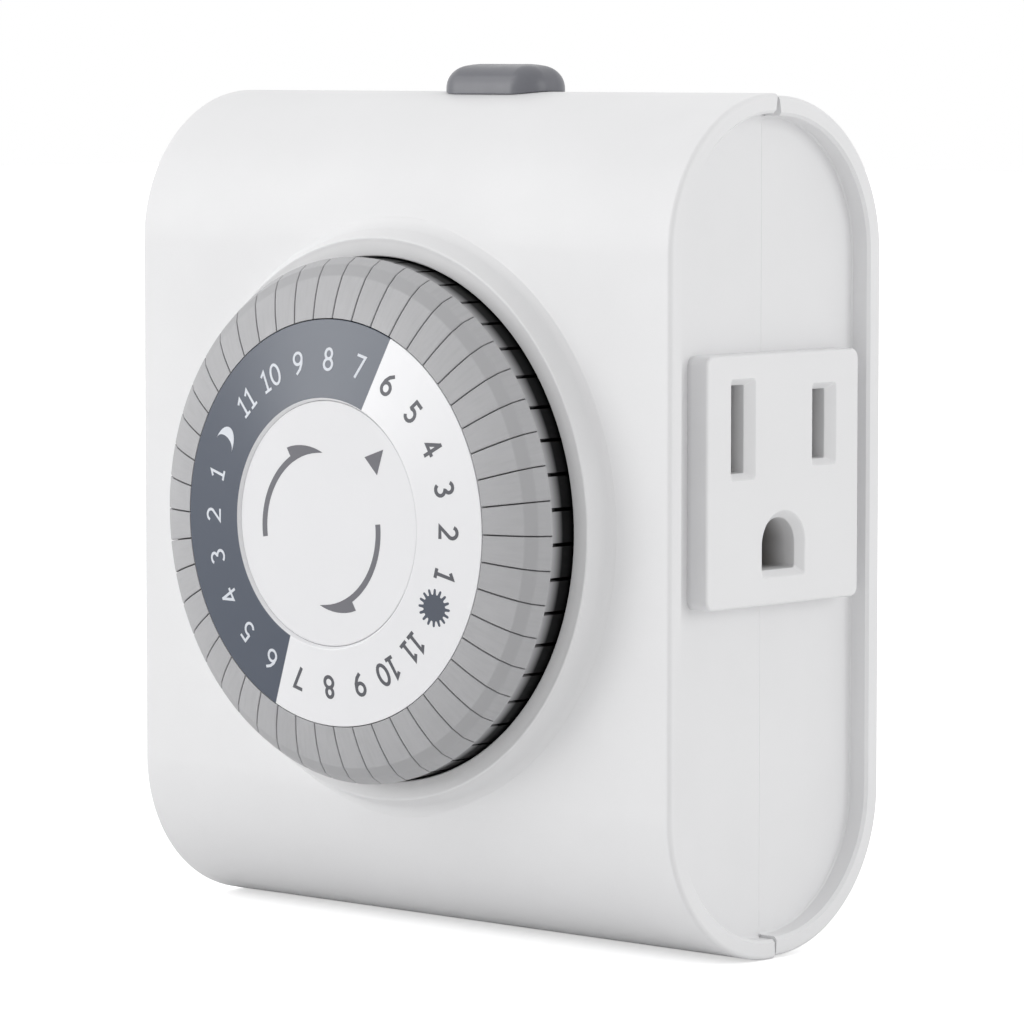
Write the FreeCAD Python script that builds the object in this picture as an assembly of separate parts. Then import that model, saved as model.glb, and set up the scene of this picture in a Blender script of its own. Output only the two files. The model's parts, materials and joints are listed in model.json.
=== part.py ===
import FreeCAD, Part
import math
import os

# A plug-in 24 hour timer with a tripper dial, two grounded outlets and a slide switch on top.
# Millimetres. The origin is the centre of the flat rear face that lies on the wall.
# X runs to the right seen from the front, Y runs into the wall and Z runs up.

V = FreeCAD.Vector
AXIS_Y = V(0, 1, 0)
AXIS_Z = V(0, 0, 1)

# Fits shared by every piece
press_gap = 0.02
running_gap = 0.05
seat_gap = 0.1
sliding_gap = 0.15
free_gap = 0.3

# How far a cut runs past a face, and how far joined lumps run into each other
past = 1.0
overlap = 0.5

# Housing: two shells with a rounded outline that runs straight from side to side
housing_width = 75.6
housing_height = 88.0
housing_depth = 33.0
corner_flat = 1.0
wall = 2.0
edge_round = 0.5
rim_width = 2.0
side_recess = 2.25
side_wall = 1.8
rear_step = 0.25
rim_notch = 0.9
parting_bevel = 0.35
tongue_height = 1.2
tongue_thickness = 0.9
tongue_outer_x = 24.0
tongue_inner_x = 12.0

# Dial well and bezel on the front
well_radius = 27.7
well_wall = 1.5
well_depth = 5.5
well_floor = 1.5
lip_proud = 2.65
land_radius = 29.1
land_drop = 0.2
bezel_foot_radius = 30.5
bezel_foot_proud = 0.75
bezel_mid_radius = 31.4
bezel_mid_proud = 0.18
bezel_outer_radius = 33.0
lip_round = 0.3

# Dial: number ring, carrier and trippers, all about the Y axis
trippers_on_dial = 48
trippers_per_hour = 2
ring_outer_radius = 20.85
ring_inner_radius = 12.9
ring_outer_proud = 9.3
ring_inner_proud = 10.3
ring_thickness = 0.8
tripper_bevel_radius = 25.33
tripper_bevel_drop = 1.5
tripper_edge_radius = 26.83
tripper_edge_drop = 2.1
tripper_radius = 27.18
tripper_side_drop = 3.45
tripper_head_depth = 3.7
tripper_slit = 0.22
tripper_travel = 3.0
shank_inner_radius = 21.5
shank_outer_radius = 25.5
shank_width = 2.0
carrier_radius = 27.0
drum_wall = 1.6
carrier_web = 1.5
carrier_ring_length = 7.3
rim_slit_width = 0.4
rim_slit_depth = 0.9
rim_slit_shift = 2.0
hub_radius = 5.5
hour_at_top = 20
post_radius = 3.2
post_neck_radius = 2.5
post_flange_radius = 6.0
post_flange = 1.4
disc_radius = 12.6
disc_thickness = 1.2
disc_recess = 0.3
disc_spigot_radius = 1.5
disc_spigot_length = 4.0
disc_round = 0.25

# Gear train from the motor to the dial
dial_teeth = 36
dial_module = 0.6
idler_pinion_teeth = 12
idler_wheel_teeth = 40
motor_teeth = 10
motor_module = 0.5
tooth_addendum = 0.8
tooth_dedendum = 1.0
tooth_tip_share = 0.42
tooth_root_share = 1.5
dial_gear_thickness = 2.0
dial_gear_lift = 1.5
idler_hub_radius = 2.4
idler_wheel_thickness = 1.5
pin_radius = 0.8
tooth_backlash = 0.22

# Chassis plate that carries the dial post, the gears and the motor
gear_room = 4.0
chassis_thickness = 1.5
chassis_top_z = 6.2
chassis_waist_z = -9.0
chassis_end_margin = 4.5
chassis_top_half_width = 13.0
chassis_low_margin = 6.5
chassis_screw_top = (10.8, 2.5)
chassis_screw_inset = (3.0, 6.5)
chassis_boss_radius = 2.2
small_screw_grip = 3.6
small_screw_radius = 1.0
small_head_radius = 1.9
small_head_height = 1.4
motor_low_margin = 4.6
motor_back_room = 4.5
motor_ear_length = 4.4
motor_ear_width = 5.0
motor_ear_thickness = 1.0
motor_ear_rise = 6.0
motor_shaft_depth = 6.0
motor_bevel = 1.0
lead_radius = 0.5
neutral_lead_inset = 1.8
hot_lead_gap = 1.1

# Housing screws, driven from the rear into the front shell
screw_x = 28.0
screw_end_margin = 11.0
screw_radius = 1.4
screw_clearance = 0.25
screw_head_radius = 2.6
screw_head_height = 2.0
screw_head_y = -8.0
screw_tip_depth = 7.5
screw_boss_radius = 3.4
screw_post_radius = 4.2
recess_arm = 0.62
recess_slot = 0.22
recess_depth = 0.45

# Grounded outlet pattern, which the outlets and the rear plug share
blade_spacing = 12.7
blade_to_ground = 11.9
neutral_height = 7.9
hot_height = 6.35
blade_thickness = 1.5
blade_reach = 17.0
blade_hole_radius = 1.6
blade_hole_from_tip = 5.0
blade_tip_bevel = 0.6
ground_pin_radius = 2.38
ground_pin_reach = 20.6
ground_collar = 1.6
ground_collar_step = 1.2
ground_neck_radius = 1.9
ground_seat_depth = 0.8
plug_blade_z = 6.0
plug_pad_depth = 3.0
plug_pad_margin = 3.5

# Outlet face plates on both sides
outlet_depth = 17.05
outlet_blade_z = 10.35
plate_margin = 4.6
plate_height = 25.55
plate_z = 5.1
plate_proud = 0.4
plate_corner = 1.0
plate_edge_round = 0.3
slot_width = 2.0
slot_neutral_height = 8.9
slot_hot_height = 7.1
slot_funnel = 0.9
slot_funnel_end = 0.65
slot_funnel_depth = 0.8
ground_hole_radius = 2.65
ground_hole_drop = 2.6
ground_funnel = 0.75
skirt_inset = 1.1
skirt_wall = 1.2
skirt_length = 5.0

# Brass contacts and bus bars behind the outlets
brass = 0.8
leaf = 0.6
contact_gap = 1.6
contact_inner_x = 19.5
contact_outer_x = 31.5
contact_height = 6.5
strip_width = 3.2
ground_sleeve_radius = 2.45
ground_sleeve_wall = 0.55
ground_sleeve_inner_x = 20.0
neutral_tab_width = 2.4
neutral_tab_shift = 0.75
hot_tab_front_y = -9.0
hot_tab_rear_y = -6.0
hot_tab_drop = 2.0
bus_rib_height = 4.0
leaf_foot_gap = 0.2

# Switch: lever read by the trippers, leaf contact and fixed contact
follower_angle = 3.75
follower_z = 24.0
follower_width = 1.6
follower_thickness = 1.6
lever_pivot_gap = 1.5
lever_pivot_drop = 10.0
lever_boss_radius = 1.7
lever_width = 3.0
lever_arm_gap = 3.7
lever_arm_thickness = 1.8
lever_nose_drop = 4.0
lever_nose_height = 2.0
lever_nose_gap = 0.2
lever_nose_reach = 1.8
lever_tail_rise = 4.5
lever_swing_room = 1.0
ear_gap = 0.3
ear_thickness = 1.5
ear_radius = 2.0
leaf_spring_thickness = 0.4
leaf_spring_width = 4.0
leaf_spring_root_z = 10.3
leaf_spring_end = 2.0
button_radius = 1.5
button_height = 0.8
button_drop = 4.0
button_plate_margin = 0.5
button_plate_height = 6.0

# Slide switch on top
knob_length = 12.8
knob_width = 7.4
knob_height = 2.8
knob_corner = 2.4
knob_top_round = 2.6
knob_travel = 4.0
knob_stem_length = 3.0
knob_stem_width = 2.1
knob_lift = 0.1
slide_plate_length = 14.0
slide_plate_width = 4.6
slide_plate_thickness = 1.2
slide_plate_drop = 0.85
slide_cam_drop = 4.0
slide_cam_length = 3.4
slide_cam_ramp = 1.5

# Sizes that follow from the driving ones
half_width = housing_width / 2
half_height = housing_height / 2
front_y = -housing_depth
parting_y = -housing_depth / 2
corner_radius = (housing_depth - corner_flat) / 2
well_floor_y = front_y + well_depth
recess_x = half_width - side_recess
cavity_x = recess_x - side_wall
floor_back_y = well_floor_y + well_floor
tripper_pitch = 360.0 / trippers_on_dial
ring_outer_y = front_y - ring_outer_proud
ring_inner_y = front_y - ring_inner_proud
head_back_y = ring_outer_y + tripper_head_depth
carrier_front_y = head_back_y + seat_gap
carrier_back_y = carrier_front_y + carrier_ring_length
shank_back_y = carrier_back_y + tripper_travel
drum_radius = ring_outer_radius - free_gap
disc_front_y = ring_inner_y + disc_recess
disc_back_y = disc_front_y + disc_thickness
carrier_face_y = disc_back_y + free_gap
dial_pitch_radius = dial_teeth * dial_module / 2
idler_pinion_radius = idler_pinion_teeth * dial_module / 2
idler_wheel_radius = idler_wheel_teeth * motor_module / 2
motor_pinion_radius = motor_teeth * motor_module / 2
idler_z = -(dial_pitch_radius + idler_pinion_radius)
motor_z = idler_z - idler_wheel_radius - motor_pinion_radius
dial_gear_back_y = well_floor_y - dial_gear_lift
dial_gear_front_y = dial_gear_back_y - dial_gear_thickness
chassis_y = floor_back_y + gear_room
chassis_back_y = chassis_y + chassis_thickness
chassis_bottom_z = chassis_end_margin - half_height
motor_radius = half_height - motor_low_margin + motor_z
motor_back_y = -wall - plug_pad_depth - motor_back_room
chassis_low_half_width = motor_radius + chassis_low_margin
chassis_corner = (chassis_low_half_width - chassis_top_half_width) / 3
chassis_screw_low_x = chassis_low_half_width - chassis_screw_inset[0]
chassis_screw_low_z = chassis_bottom_z + chassis_screw_inset[1]
idler_wheel_front_y = floor_back_y + free_gap
idler_wheel_back_y = idler_wheel_front_y + idler_wheel_thickness
outlet_y = front_y + outlet_depth
plate_width = housing_depth - 2 * plate_margin
outlet_ground_z = outlet_blade_z - blade_to_ground
plug_ground_z = plug_blade_z - blade_to_ground
screw_z = half_height - screw_end_margin
screw_tip_y = front_y + screw_tip_depth
follower_x = follower_z * math.tan(math.radians(follower_angle))
lever_pivot_y = floor_back_y + lever_pivot_gap
lever_pivot_z = half_height - lever_pivot_drop
lever_arm_front_y = floor_back_y + lever_arm_gap
lever_nose_z = lever_pivot_z - lever_nose_drop
lever_tail_z = lever_pivot_z + lever_tail_rise
leaf_spring_y = lever_arm_front_y + lever_arm_thickness + lever_nose_reach
leaf_spring_top_z = lever_nose_z + leaf_spring_end
button_z = lever_nose_z - button_drop
hot_tab_top_z = button_z - hot_tab_drop
neutral_tab_front_y = outlet_y + neutral_tab_shift
neutral_tab_rear_y = neutral_tab_front_y + neutral_tab_width
neutral_lead_y = neutral_tab_front_y + neutral_lead_inset
hot_lead_y = motor_back_y + hot_lead_gap
contact_top_z = outlet_blade_z + contact_height / 2
contact_low_z = outlet_blade_z - contact_height / 2
collar_back_y = -wall - plug_pad_depth - seat_gap
slide_top_z = half_height - wall - slide_plate_drop
slide_low_z = slide_top_z - slide_plate_thickness


def box(x0, x1, y0, y1, z0, z1):
    """A block between two corners."""
    return Part.makeBox(x1 - x0, y1 - y0, z1 - z0, V(x0, y0, z0))


def rod(radius, start, end):
    """A round bar from one point to another."""
    along = end - start
    return Part.makeCylinder(radius, along.Length, start, along)


def rod_y(radius, x, z, y0, y1):
    """A round bar along Y."""
    return rod(radius, V(x, y0, z), V(x, y1, z))


def fused(shapes):
    """One solid from several that meet."""
    whole = shapes[0].fuse(shapes[1:])
    return whole.removeSplitter()


def prism(points, along):
    """A flat polygon pushed along a vector."""
    outline = Part.makePolygon(points + [points[0]])
    return Part.Face(outline).extrude(along)


def turned(outline, sweep=360.0, start=0.0):
    """Turn a closed (radius, y) outline about the Y axis; angles run clockwise from the top."""
    corners = [V(0, y, r) for r, y in outline]
    face = Part.Face(Part.makePolygon(corners + [corners[0]]))
    face.rotate(V(0, 0, 0), AXIS_Y, start)
    return face.revolve(V(0, 0, 0), AXIS_Y, sweep)


def rounded_outline(x, inset, depth_front, depth_back, half_tall, radius):
    """The housing's rounded outline in a plane of constant x, drawn in by an inset."""
    y0 = depth_front + inset
    y1 = depth_back - inset
    z1 = half_tall - inset
    r = radius - inset
    k = r * (1 - math.sqrt(0.5))
    front_top = Part.Arc(V(x, y0, z1 - r), V(x, y0 + k, z1 - k), V(x, y0 + r, z1))
    top = Part.LineSegment(V(x, y0 + r, z1), V(x, y1 - r, z1))
    back_top = Part.Arc(V(x, y1 - r, z1), V(x, y1 - k, z1 - k), V(x, y1, z1 - r))
    back = Part.LineSegment(V(x, y1, z1 - r), V(x, y1, r - z1))
    back_low = Part.Arc(V(x, y1, r - z1), V(x, y1 - k, k - z1), V(x, y1 - r, -z1))
    low = Part.LineSegment(V(x, y1 - r, -z1), V(x, y0 + r, -z1))
    front_low = Part.Arc(V(x, y0 + r, -z1), V(x, y0 + k, k - z1), V(x, y0, r - z1))
    front = Part.LineSegment(V(x, y0, r - z1), V(x, y0, z1 - r))
    pieces = [front_top, top, back_top, back, back_low, low, front_low, front]
    return Part.Wire([piece.toShape() for piece in pieces])


def housing_block(x0, x1, inset, half_tall):
    """A length of the housing's rounded bar."""
    wire = rounded_outline(x0, inset, front_y, 0.0, half_tall, corner_radius)
    return Part.Face(wire).extrude(V(x1 - x0, 0, 0))


def edges_on_plane(shape, axis, value):
    """The edges that lie in one plane across an axis."""
    low = {"x": "XMin", "y": "YMin", "z": "ZMin"}[axis]
    high = {"x": "XMax", "y": "YMax", "z": "ZMax"}[axis]
    found = []
    for edge in shape.Edges:
        bounds = edge.BoundBox
        flat = getattr(bounds, high) - getattr(bounds, low) < 0.001
        if flat and abs(getattr(bounds, low) - value) < 0.001:
            found.append(edge)
    return found


def hollow_housing(half_tall):
    """The closed housing with its side recesses, before it is parted in two."""
    body = housing_block(-half_width, half_width, 0.0, half_tall)
    ends = edges_on_plane(body, "x", half_width) + edges_on_plane(body, "x", -half_width)
    body = body.makeFillet(edge_round, ends)
    body = body.cut(housing_block(-cavity_x, cavity_x, wall, half_tall))
    for side in (-1, 1):
        near = min(side * recess_x, side * (half_width + 1))
        far = max(side * recess_x, side * (half_width + 1))
        body = body.cut(housing_block(near, far, rim_width, half_tall))
        for up in (-1, 1):
            rim_z = up * (half_tall - rim_width)
            tip = V(near, parting_y, up * half_tall)
            left = V(near, parting_y - rim_notch / 2, rim_z)
            right = V(near, parting_y + rim_notch / 2, rim_z)
            body = body.cut(prism([tip, left, right], V(far - near, 0, 0)))
    return body


def plate_opening():
    """The window in each side wall that the outlet plate's skirt passes through."""
    half_y = plate_width / 2 - skirt_inset + sliding_gap
    half_z = plate_height / 2 - skirt_inset + sliding_gap
    low_x = -half_width - 1
    return box(low_x, -low_x, outlet_y - half_y, outlet_y + half_y, plate_z - half_z, plate_z + half_z)


def knob_slot():
    """The slot in the roof that the slide knob's stem runs in."""
    x0 = -knob_stem_length / 2 - knob_travel - sliding_gap
    x1 = knob_stem_length / 2 + sliding_gap
    half_y = knob_stem_width / 2 + sliding_gap
    return box(x0, x1, parting_y - half_y, parting_y + half_y, half_height - 2 * wall, half_height + past)


def screw_places():
    """The four housing screw positions."""
    return [(sx * screw_x, sz * screw_z) for sx in (-1, 1) for sz in (-1, 1)]


def chassis_screw_places():
    """The four chassis screw positions."""
    low = (chassis_screw_low_x, chassis_screw_low_z)
    return [(side * x, z) for side in (-1, 1) for x, z in (chassis_screw_top, low)]


def lever_axis(radius, spare):
    """A round bar on the lever's axis that runs a spare length past the gaps on both sides of the lever."""
    reach = lever_width / 2 + ear_gap + spare
    start = V(follower_x - reach, lever_pivot_y, lever_pivot_z)
    return rod(radius, start, V(follower_x + reach, lever_pivot_y, lever_pivot_z))


def pivot_ears():
    """The two ears inside the front shell that carry the lever's pivot pin."""
    ears = []
    for side in (-1, 1):
        inner = follower_x + side * (lever_width / 2 + ear_gap)
        outer = inner + side * ear_thickness
        x0, x1 = min(inner, outer), max(inner, outer)
        web = box(x0, x1, front_y, lever_pivot_y, lever_pivot_z - ear_radius, lever_pivot_z + ear_radius)
        nose = rod(ear_radius, V(x0, lever_pivot_y, lever_pivot_z), V(x1, lever_pivot_y, lever_pivot_z))
        ears.append(web.fuse(nose))
    return ears


def bezel_outline():
    """The (radius, y) outline of the dial well with its raised lip and sloping bezel."""
    lip_y = front_y - lip_proud
    soft = lip_round / 3
    corners = [(0, well_floor_y), (well_radius, well_floor_y), (well_radius, lip_y + lip_round)]
    corners += [(well_radius + soft, lip_y + soft), (well_radius + lip_round, lip_y)]
    corners += [(land_radius - lip_round, lip_y + land_drop), (land_radius, lip_y + land_drop + soft)]
    corners += [(bezel_foot_radius, front_y - bezel_foot_proud)]
    corners += [(bezel_mid_radius, front_y - bezel_mid_proud), (bezel_outer_radius, front_y)]
    corners += [(bezel_outer_radius, front_y + wall)]
    corners += [(well_radius + well_wall, front_y + wall), (well_radius + well_wall, floor_back_y)]
    return corners + [(0, floor_back_y)]


def follower_window():
    """The window in the well's floor that the lever's finger moves in."""
    half = follower_width / 2 + free_gap
    low_z = follower_z - follower_thickness / 2 - free_gap
    top_z = follower_z + follower_thickness / 2 + free_gap + lever_swing_room
    y0, y1 = well_floor_y - past, floor_back_y + past
    return box(follower_x - half, follower_x + half, y0, y1, low_z, top_z)


def make_front_cover():
    """The front shell with the dial well, its bezel, bosses and pivot ears."""
    shell = hollow_housing(half_height)
    reach = half_width + past
    shell = shell.cut(box(-reach, reach, parting_y, past, -half_height - past, half_height + past))
    for up in (-1, 1):
        z, b = up * half_height, up * parting_bevel
        near_y, far_y = parting_y - 2 * parting_bevel, parting_y + parting_bevel
        corners = [V(-reach, near_y, z + b), V(-reach, far_y, z - 2 * b), V(-reach, far_y, z + b)]
        shell = shell.cut(prism(corners, V(2 * reach, 0, 0)))
    shell = shell.cut(rod_y(well_radius + well_wall / 2, 0, 0, front_y - past, floor_back_y))
    carried = [rod_y(screw_boss_radius, x, z, front_y, parting_y) for x, z in screw_places()]
    for x, z in chassis_screw_places():
        start = floor_back_y - well_floor / 2 if math.hypot(x, z) < well_radius else front_y
        carried.append(rod_y(chassis_boss_radius, x, z, start, chassis_y))
    carried += pivot_ears()
    inside = housing_block(-half_width, half_width, wall / 2, half_height)
    body = fused([shell, turned(bezel_outline())] + [piece.common(inside) for piece in carried])
    body = body.cut(plate_opening()).cut(knob_slot())
    for x, z in screw_places():
        body = body.cut(rod_y(screw_radius + press_gap, x, z, screw_tip_y - past, parting_y + past))
    for x, z in chassis_screw_places():
        tip_y = chassis_y - small_screw_grip - seat_gap
        body = body.cut(rod_y(small_screw_radius + press_gap, x, z, tip_y, chassis_y + past))
    body = body.cut(lever_axis(pin_radius + press_gap, ear_thickness + past))
    body = body.cut(rod_y(post_radius + sliding_gap, 0, 0, well_floor_y - past, floor_back_y + past))
    pinion_room = idler_pinion_radius + dial_module + free_gap
    body = body.cut(rod_y(pinion_room, 0, idler_z, well_floor_y - past, floor_back_y + past))
    return body.cut(follower_window())


def make_rear_cover():
    """The rear shell with the plug pad, screw posts, locating tongues and bus ribs."""
    tall = half_height - rear_step
    shell = hollow_housing(tall)
    reach = half_width + past
    shell = shell.cut(box(-reach, reach, front_y - past, parting_y, -half_height - past, half_height + past))
    pieces = []
    pad_x = blade_spacing / 2 + plug_pad_margin
    pad_low = plug_ground_z - ground_pin_radius - plug_pad_margin
    pad_top = plug_blade_z + neutral_height / 2 + plug_pad_margin
    pad_y = -wall - plug_pad_depth
    pieces.append(box(-pad_x, pad_x, pad_y, -wall / 2, pad_low, pad_top))
    pieces += [rod_y(screw_post_radius, x, z, parting_y, 0.0) for x, z in screw_places()]
    tongue_top = half_height - wall - seat_gap
    for x0, x1 in ((tongue_inner_x, tongue_outer_x), (-tongue_outer_x, -tongue_inner_x)):
        for up in (-1, 1):
            za = up * (tongue_top - tongue_thickness)
            zb = up * tongue_top
            root_z = up * (tall - wall / 2)
            tip_y = parting_y - tongue_height
            pieces.append(box(x0, x1, tip_y, parting_y + wall, min(za, zb), max(za, zb)))
            pieces.append(box(x0, x1, parting_y, parting_y + wall, min(zb, root_z), max(zb, root_z)))
    for side, top_z in ((-1, contact_top_z + brass), (1, contact_low_z)):
        slope = blade_spacing / 2 / contact_inner_x
        rib_x = side * (contact_inner_x - strip_width)
        edge_y = outlet_y + slope * abs(rib_x) + strip_width / 2 + free_gap
        low_z = top_z - bus_rib_height / 2
        pieces.append(box(rib_x - brass, rib_x + brass, edge_y, -wall / 2, low_z, low_z + bus_rib_height))
    inside = housing_block(-half_width, half_width, wall / 2, tall)
    body = fused([shell] + [piece.common(inside) for piece in pieces])
    body = body.cut(plate_opening()).cut(knob_slot())
    for x, z in screw_places():
        seat_y = screw_head_y - screw_head_height
        body = body.cut(rod_y(screw_radius + screw_clearance, x, z, parting_y - past, past))
        body = body.cut(rod_y(screw_head_radius + screw_clearance, x, z, seat_y, past))
    for x, tall_blade in ((-blade_spacing / 2, neutral_height), (blade_spacing / 2, hot_height)):
        half_x = blade_thickness / 2 + sliding_gap
        half_z = tall_blade / 2 + sliding_gap
        low_z, high_z = plug_blade_z - half_z, plug_blade_z + half_z
        body = body.cut(box(x - half_x, x + half_x, pad_y - past, past, low_z, high_z))
    body = body.cut(rod_y(ground_pin_radius + free_gap, 0, plug_ground_z, -ground_seat_depth, past))
    return body.cut(rod_y(ground_neck_radius + sliding_gap, 0, plug_ground_z, pad_y - past, past))


def funnel(x_face, x_deep, y, z, mouth_y, mouth_z, slot_y, slot_z):
    """The chamfered mouth of a blade slot, from the face down to the slot's own size."""
    wires = []
    for x, half_y, half_z in ((x_face, mouth_y / 2, mouth_z / 2), (x_deep, slot_y / 2, slot_z / 2)):
        corners = [V(x, y - half_y, z - half_z), V(x, y + half_y, z - half_z)]
        corners += [V(x, y + half_y, z + half_z), V(x, y - half_y, z + half_z)]
        wires.append(Part.makePolygon(corners + [corners[0]]))
    return Part.makeLoft(wires, True, True)


def ground_outline(x, grow):
    """The ground opening's outline: round above and flat below."""
    r = ground_hole_radius + grow
    low = outlet_ground_z - ground_hole_drop - grow
    left = V(x, outlet_y - r, outlet_ground_z)
    right = V(x, outlet_y + r, outlet_ground_z)
    arc = Part.Arc(left, V(x, outlet_y, outlet_ground_z + r), right)
    down = Part.LineSegment(right, V(x, outlet_y + r, low))
    flat = Part.LineSegment(V(x, outlet_y + r, low), V(x, outlet_y - r, low))
    up = Part.LineSegment(V(x, outlet_y - r, low), left)
    return Part.Wire([piece.toShape() for piece in (arc, down, flat, up)])


def make_outlet_face():
    """The right outlet plate, with a skirt that passes through the side wall."""
    face_x = half_width + plate_proud
    half_y = plate_width / 2
    half_z = plate_height / 2
    plate = box(recess_x, face_x, outlet_y - half_y, outlet_y + half_y, plate_z - half_z, plate_z + half_z)
    upright = [e for e in plate.Edges if e.BoundBox.XLength > side_recess]
    plate = plate.makeFillet(plate_corner, upright)
    plate = plate.makeFillet(plate_edge_round, edges_on_plane(plate, "x", face_x))
    half_y -= skirt_inset
    half_z -= skirt_inset
    skirt_x = recess_x - skirt_length
    skirt = box(skirt_x, recess_x, outlet_y - half_y, outlet_y + half_y, plate_z - half_z, plate_z + half_z)
    half_y -= skirt_wall
    half_z -= skirt_wall
    skirt = skirt.cut(box(skirt_x - past, recess_x, outlet_y - half_y, outlet_y + half_y,
                          plate_z - half_z, plate_z + half_z))
    body = fused([plate, skirt])
    deep_x = face_x - slot_funnel_depth
    grow = 1 + past / slot_funnel_depth
    for y, tall in ((outlet_y - blade_spacing / 2, slot_neutral_height),
                    (outlet_y + blade_spacing / 2, slot_hot_height)):
        half_slot = slot_width / 2
        body = body.cut(box(skirt_x, face_x + past, y - half_slot, y + half_slot,
                            outlet_blade_z - tall / 2, outlet_blade_z + tall / 2))
        mouth_y = slot_width + 2 * slot_funnel * grow
        mouth_z = tall + 2 * slot_funnel_end * grow
        body = body.cut(funnel(face_x + past, deep_x, y, outlet_blade_z, mouth_y, mouth_z, slot_width, tall))
    hole = Part.Face(ground_outline(skirt_x, 0.0)).extrude(V(face_x + past - skirt_x, 0, 0))
    wide = ground_outline(face_x + past, ground_funnel * grow)
    mouth = Part.makeLoft([wide, ground_outline(deep_x, 0.0)], True, True)
    return body.cut(hole).cut(mouth)


def half_turn(shape):
    """The same piece turned half round about Z, as on the left side."""
    copy = shape.copy()
    copy.rotate(V(0, outlet_y, 0), AXIS_Z, 180)
    return copy


def make_centre_disc():
    """The still disc in the middle of the dial, with a spigot that fits the post."""
    r = disc_round
    corners = [(0, disc_front_y), (disc_radius - r, disc_front_y)]
    corners += [(disc_radius - r / 3, disc_front_y + r / 3), (disc_radius, disc_front_y + r)]
    corners.append((disc_radius, disc_back_y))
    tip_y = disc_back_y + disc_spigot_length
    corners += [(disc_spigot_radius, disc_back_y), (disc_spigot_radius, tip_y), (0, tip_y)]
    return turned(corners)


def make_dial_post():
    """The fixed post that the dial turns on, seated in the chassis plate."""
    flange_y = chassis_y - post_flange
    corners = [(0, disc_back_y), (post_radius, disc_back_y), (post_radius, flange_y)]
    corners += [(post_flange_radius, flange_y), (post_flange_radius, chassis_y)]
    corners += [(post_neck_radius, chassis_y), (post_neck_radius, chassis_back_y), (0, chassis_back_y)]
    post = turned(corners)
    socket_end = disc_back_y + disc_spigot_length + seat_gap
    return post.cut(rod_y(disc_spigot_radius + press_gap, 0, 0, disc_back_y - past, socket_end))


def gear_outline(teeth, module, y, tooth_first):
    """A straight sided gear outline; the tooth or the gap is centred at the top."""
    pitch_radius = teeth * module / 2
    step = 2 * math.pi / teeth
    half_pitch = (math.pi * module - tooth_backlash) / 4 / pitch_radius
    tip = pitch_radius + tooth_addendum * module
    root = pitch_radius - tooth_dedendum * module
    half_tip = half_pitch * tooth_tip_share
    half_root = half_pitch * tooth_root_share
    turn = 0.0 if tooth_first else step / 2
    corners = []
    for i in range(teeth):
        middle = turn + i * step
        for radius, angle in ((root, middle - half_root), (tip, middle - half_tip),
                              (tip, middle + half_tip), (root, middle + half_root)):
            corners.append(V(radius * math.sin(angle), y, radius * math.cos(angle)))
    return corners


def gear(teeth, module, y0, y1, z, tooth_first):
    """A spur gear between two depths, centred at height z."""
    wheel = prism(gear_outline(teeth, module, y0, tooth_first), V(0, y1 - y0, 0))
    wheel.translate(V(0, 0, z))
    return wheel


def shank_prism(index, grow, y0, y1):
    """A tripper's shank, or with growth the pocket that it slides in."""
    half = shank_width / 2 + grow
    r0 = shank_inner_radius - grow
    r1 = shank_outer_radius + grow
    corners = [V(-half, y0, r0), V(half, y0, r0), V(half, y0, r1), V(-half, y0, r1)]
    shape = prism(corners, V(0, y1 - y0, 0))
    shape.rotate(V(0, 0, 0), AXIS_Y, (index + 0.5) * tripper_pitch)
    return shape


def make_dial_carrier():
    """The turning dial: hub, gear, drum and the ring of pockets for the trippers."""
    seat_inner_y = ring_inner_y + ring_thickness + running_gap
    slope = (ring_outer_y - ring_inner_y) / (ring_outer_radius - ring_inner_radius)
    seat_outer_y = seat_inner_y + slope * (drum_radius - ring_inner_radius)
    web_back_y = carrier_face_y + carrier_web
    inner_drum = drum_radius - drum_wall
    bore = post_radius + running_gap
    corners = [(bore, carrier_face_y), (ring_inner_radius, carrier_face_y)]
    corners += [(ring_inner_radius, seat_inner_y), (drum_radius, seat_outer_y)]
    corners += [(drum_radius, carrier_front_y), (carrier_radius, carrier_front_y)]
    corners += [(carrier_radius, carrier_back_y), (inner_drum, carrier_back_y), (inner_drum, web_back_y)]
    corners += [(hub_radius, web_back_y), (hub_radius, dial_gear_front_y)]
    corners += [(hub_radius, well_floor_y - seat_gap), (bore, well_floor_y - seat_gap)]
    body = turned(corners)
    teeth = gear(dial_teeth, dial_module, dial_gear_front_y, dial_gear_back_y, 0, True)
    teeth = teeth.cut(rod_y(bore, 0, 0, dial_gear_front_y - past, dial_gear_back_y + past))
    body = fused([body, teeth])
    cuts = []
    for i in range(trippers_on_dial):
        cuts.append(shank_prism(i, sliding_gap, carrier_front_y - past, carrier_back_y + past))
        half = rim_slit_width / 2
        slit = box(-half, half, carrier_front_y - past, carrier_back_y + past,
                   carrier_radius - rim_slit_depth, carrier_radius + past)
        slit.rotate(V(0, 0, 0), AXIS_Y, i * tripper_pitch + rim_slit_shift)
        cuts.append(slit)
    return body.cut(cuts)


def make_number_ring():
    """The printed hour ring, a shallow cone on the front of the carrier."""
    corners = [(ring_inner_radius, ring_inner_y), (ring_outer_radius, ring_outer_y)]
    corners += [(ring_outer_radius, ring_outer_y + ring_thickness)]
    corners += [(ring_inner_radius, ring_inner_y + ring_thickness)]
    return turned(corners)


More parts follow.
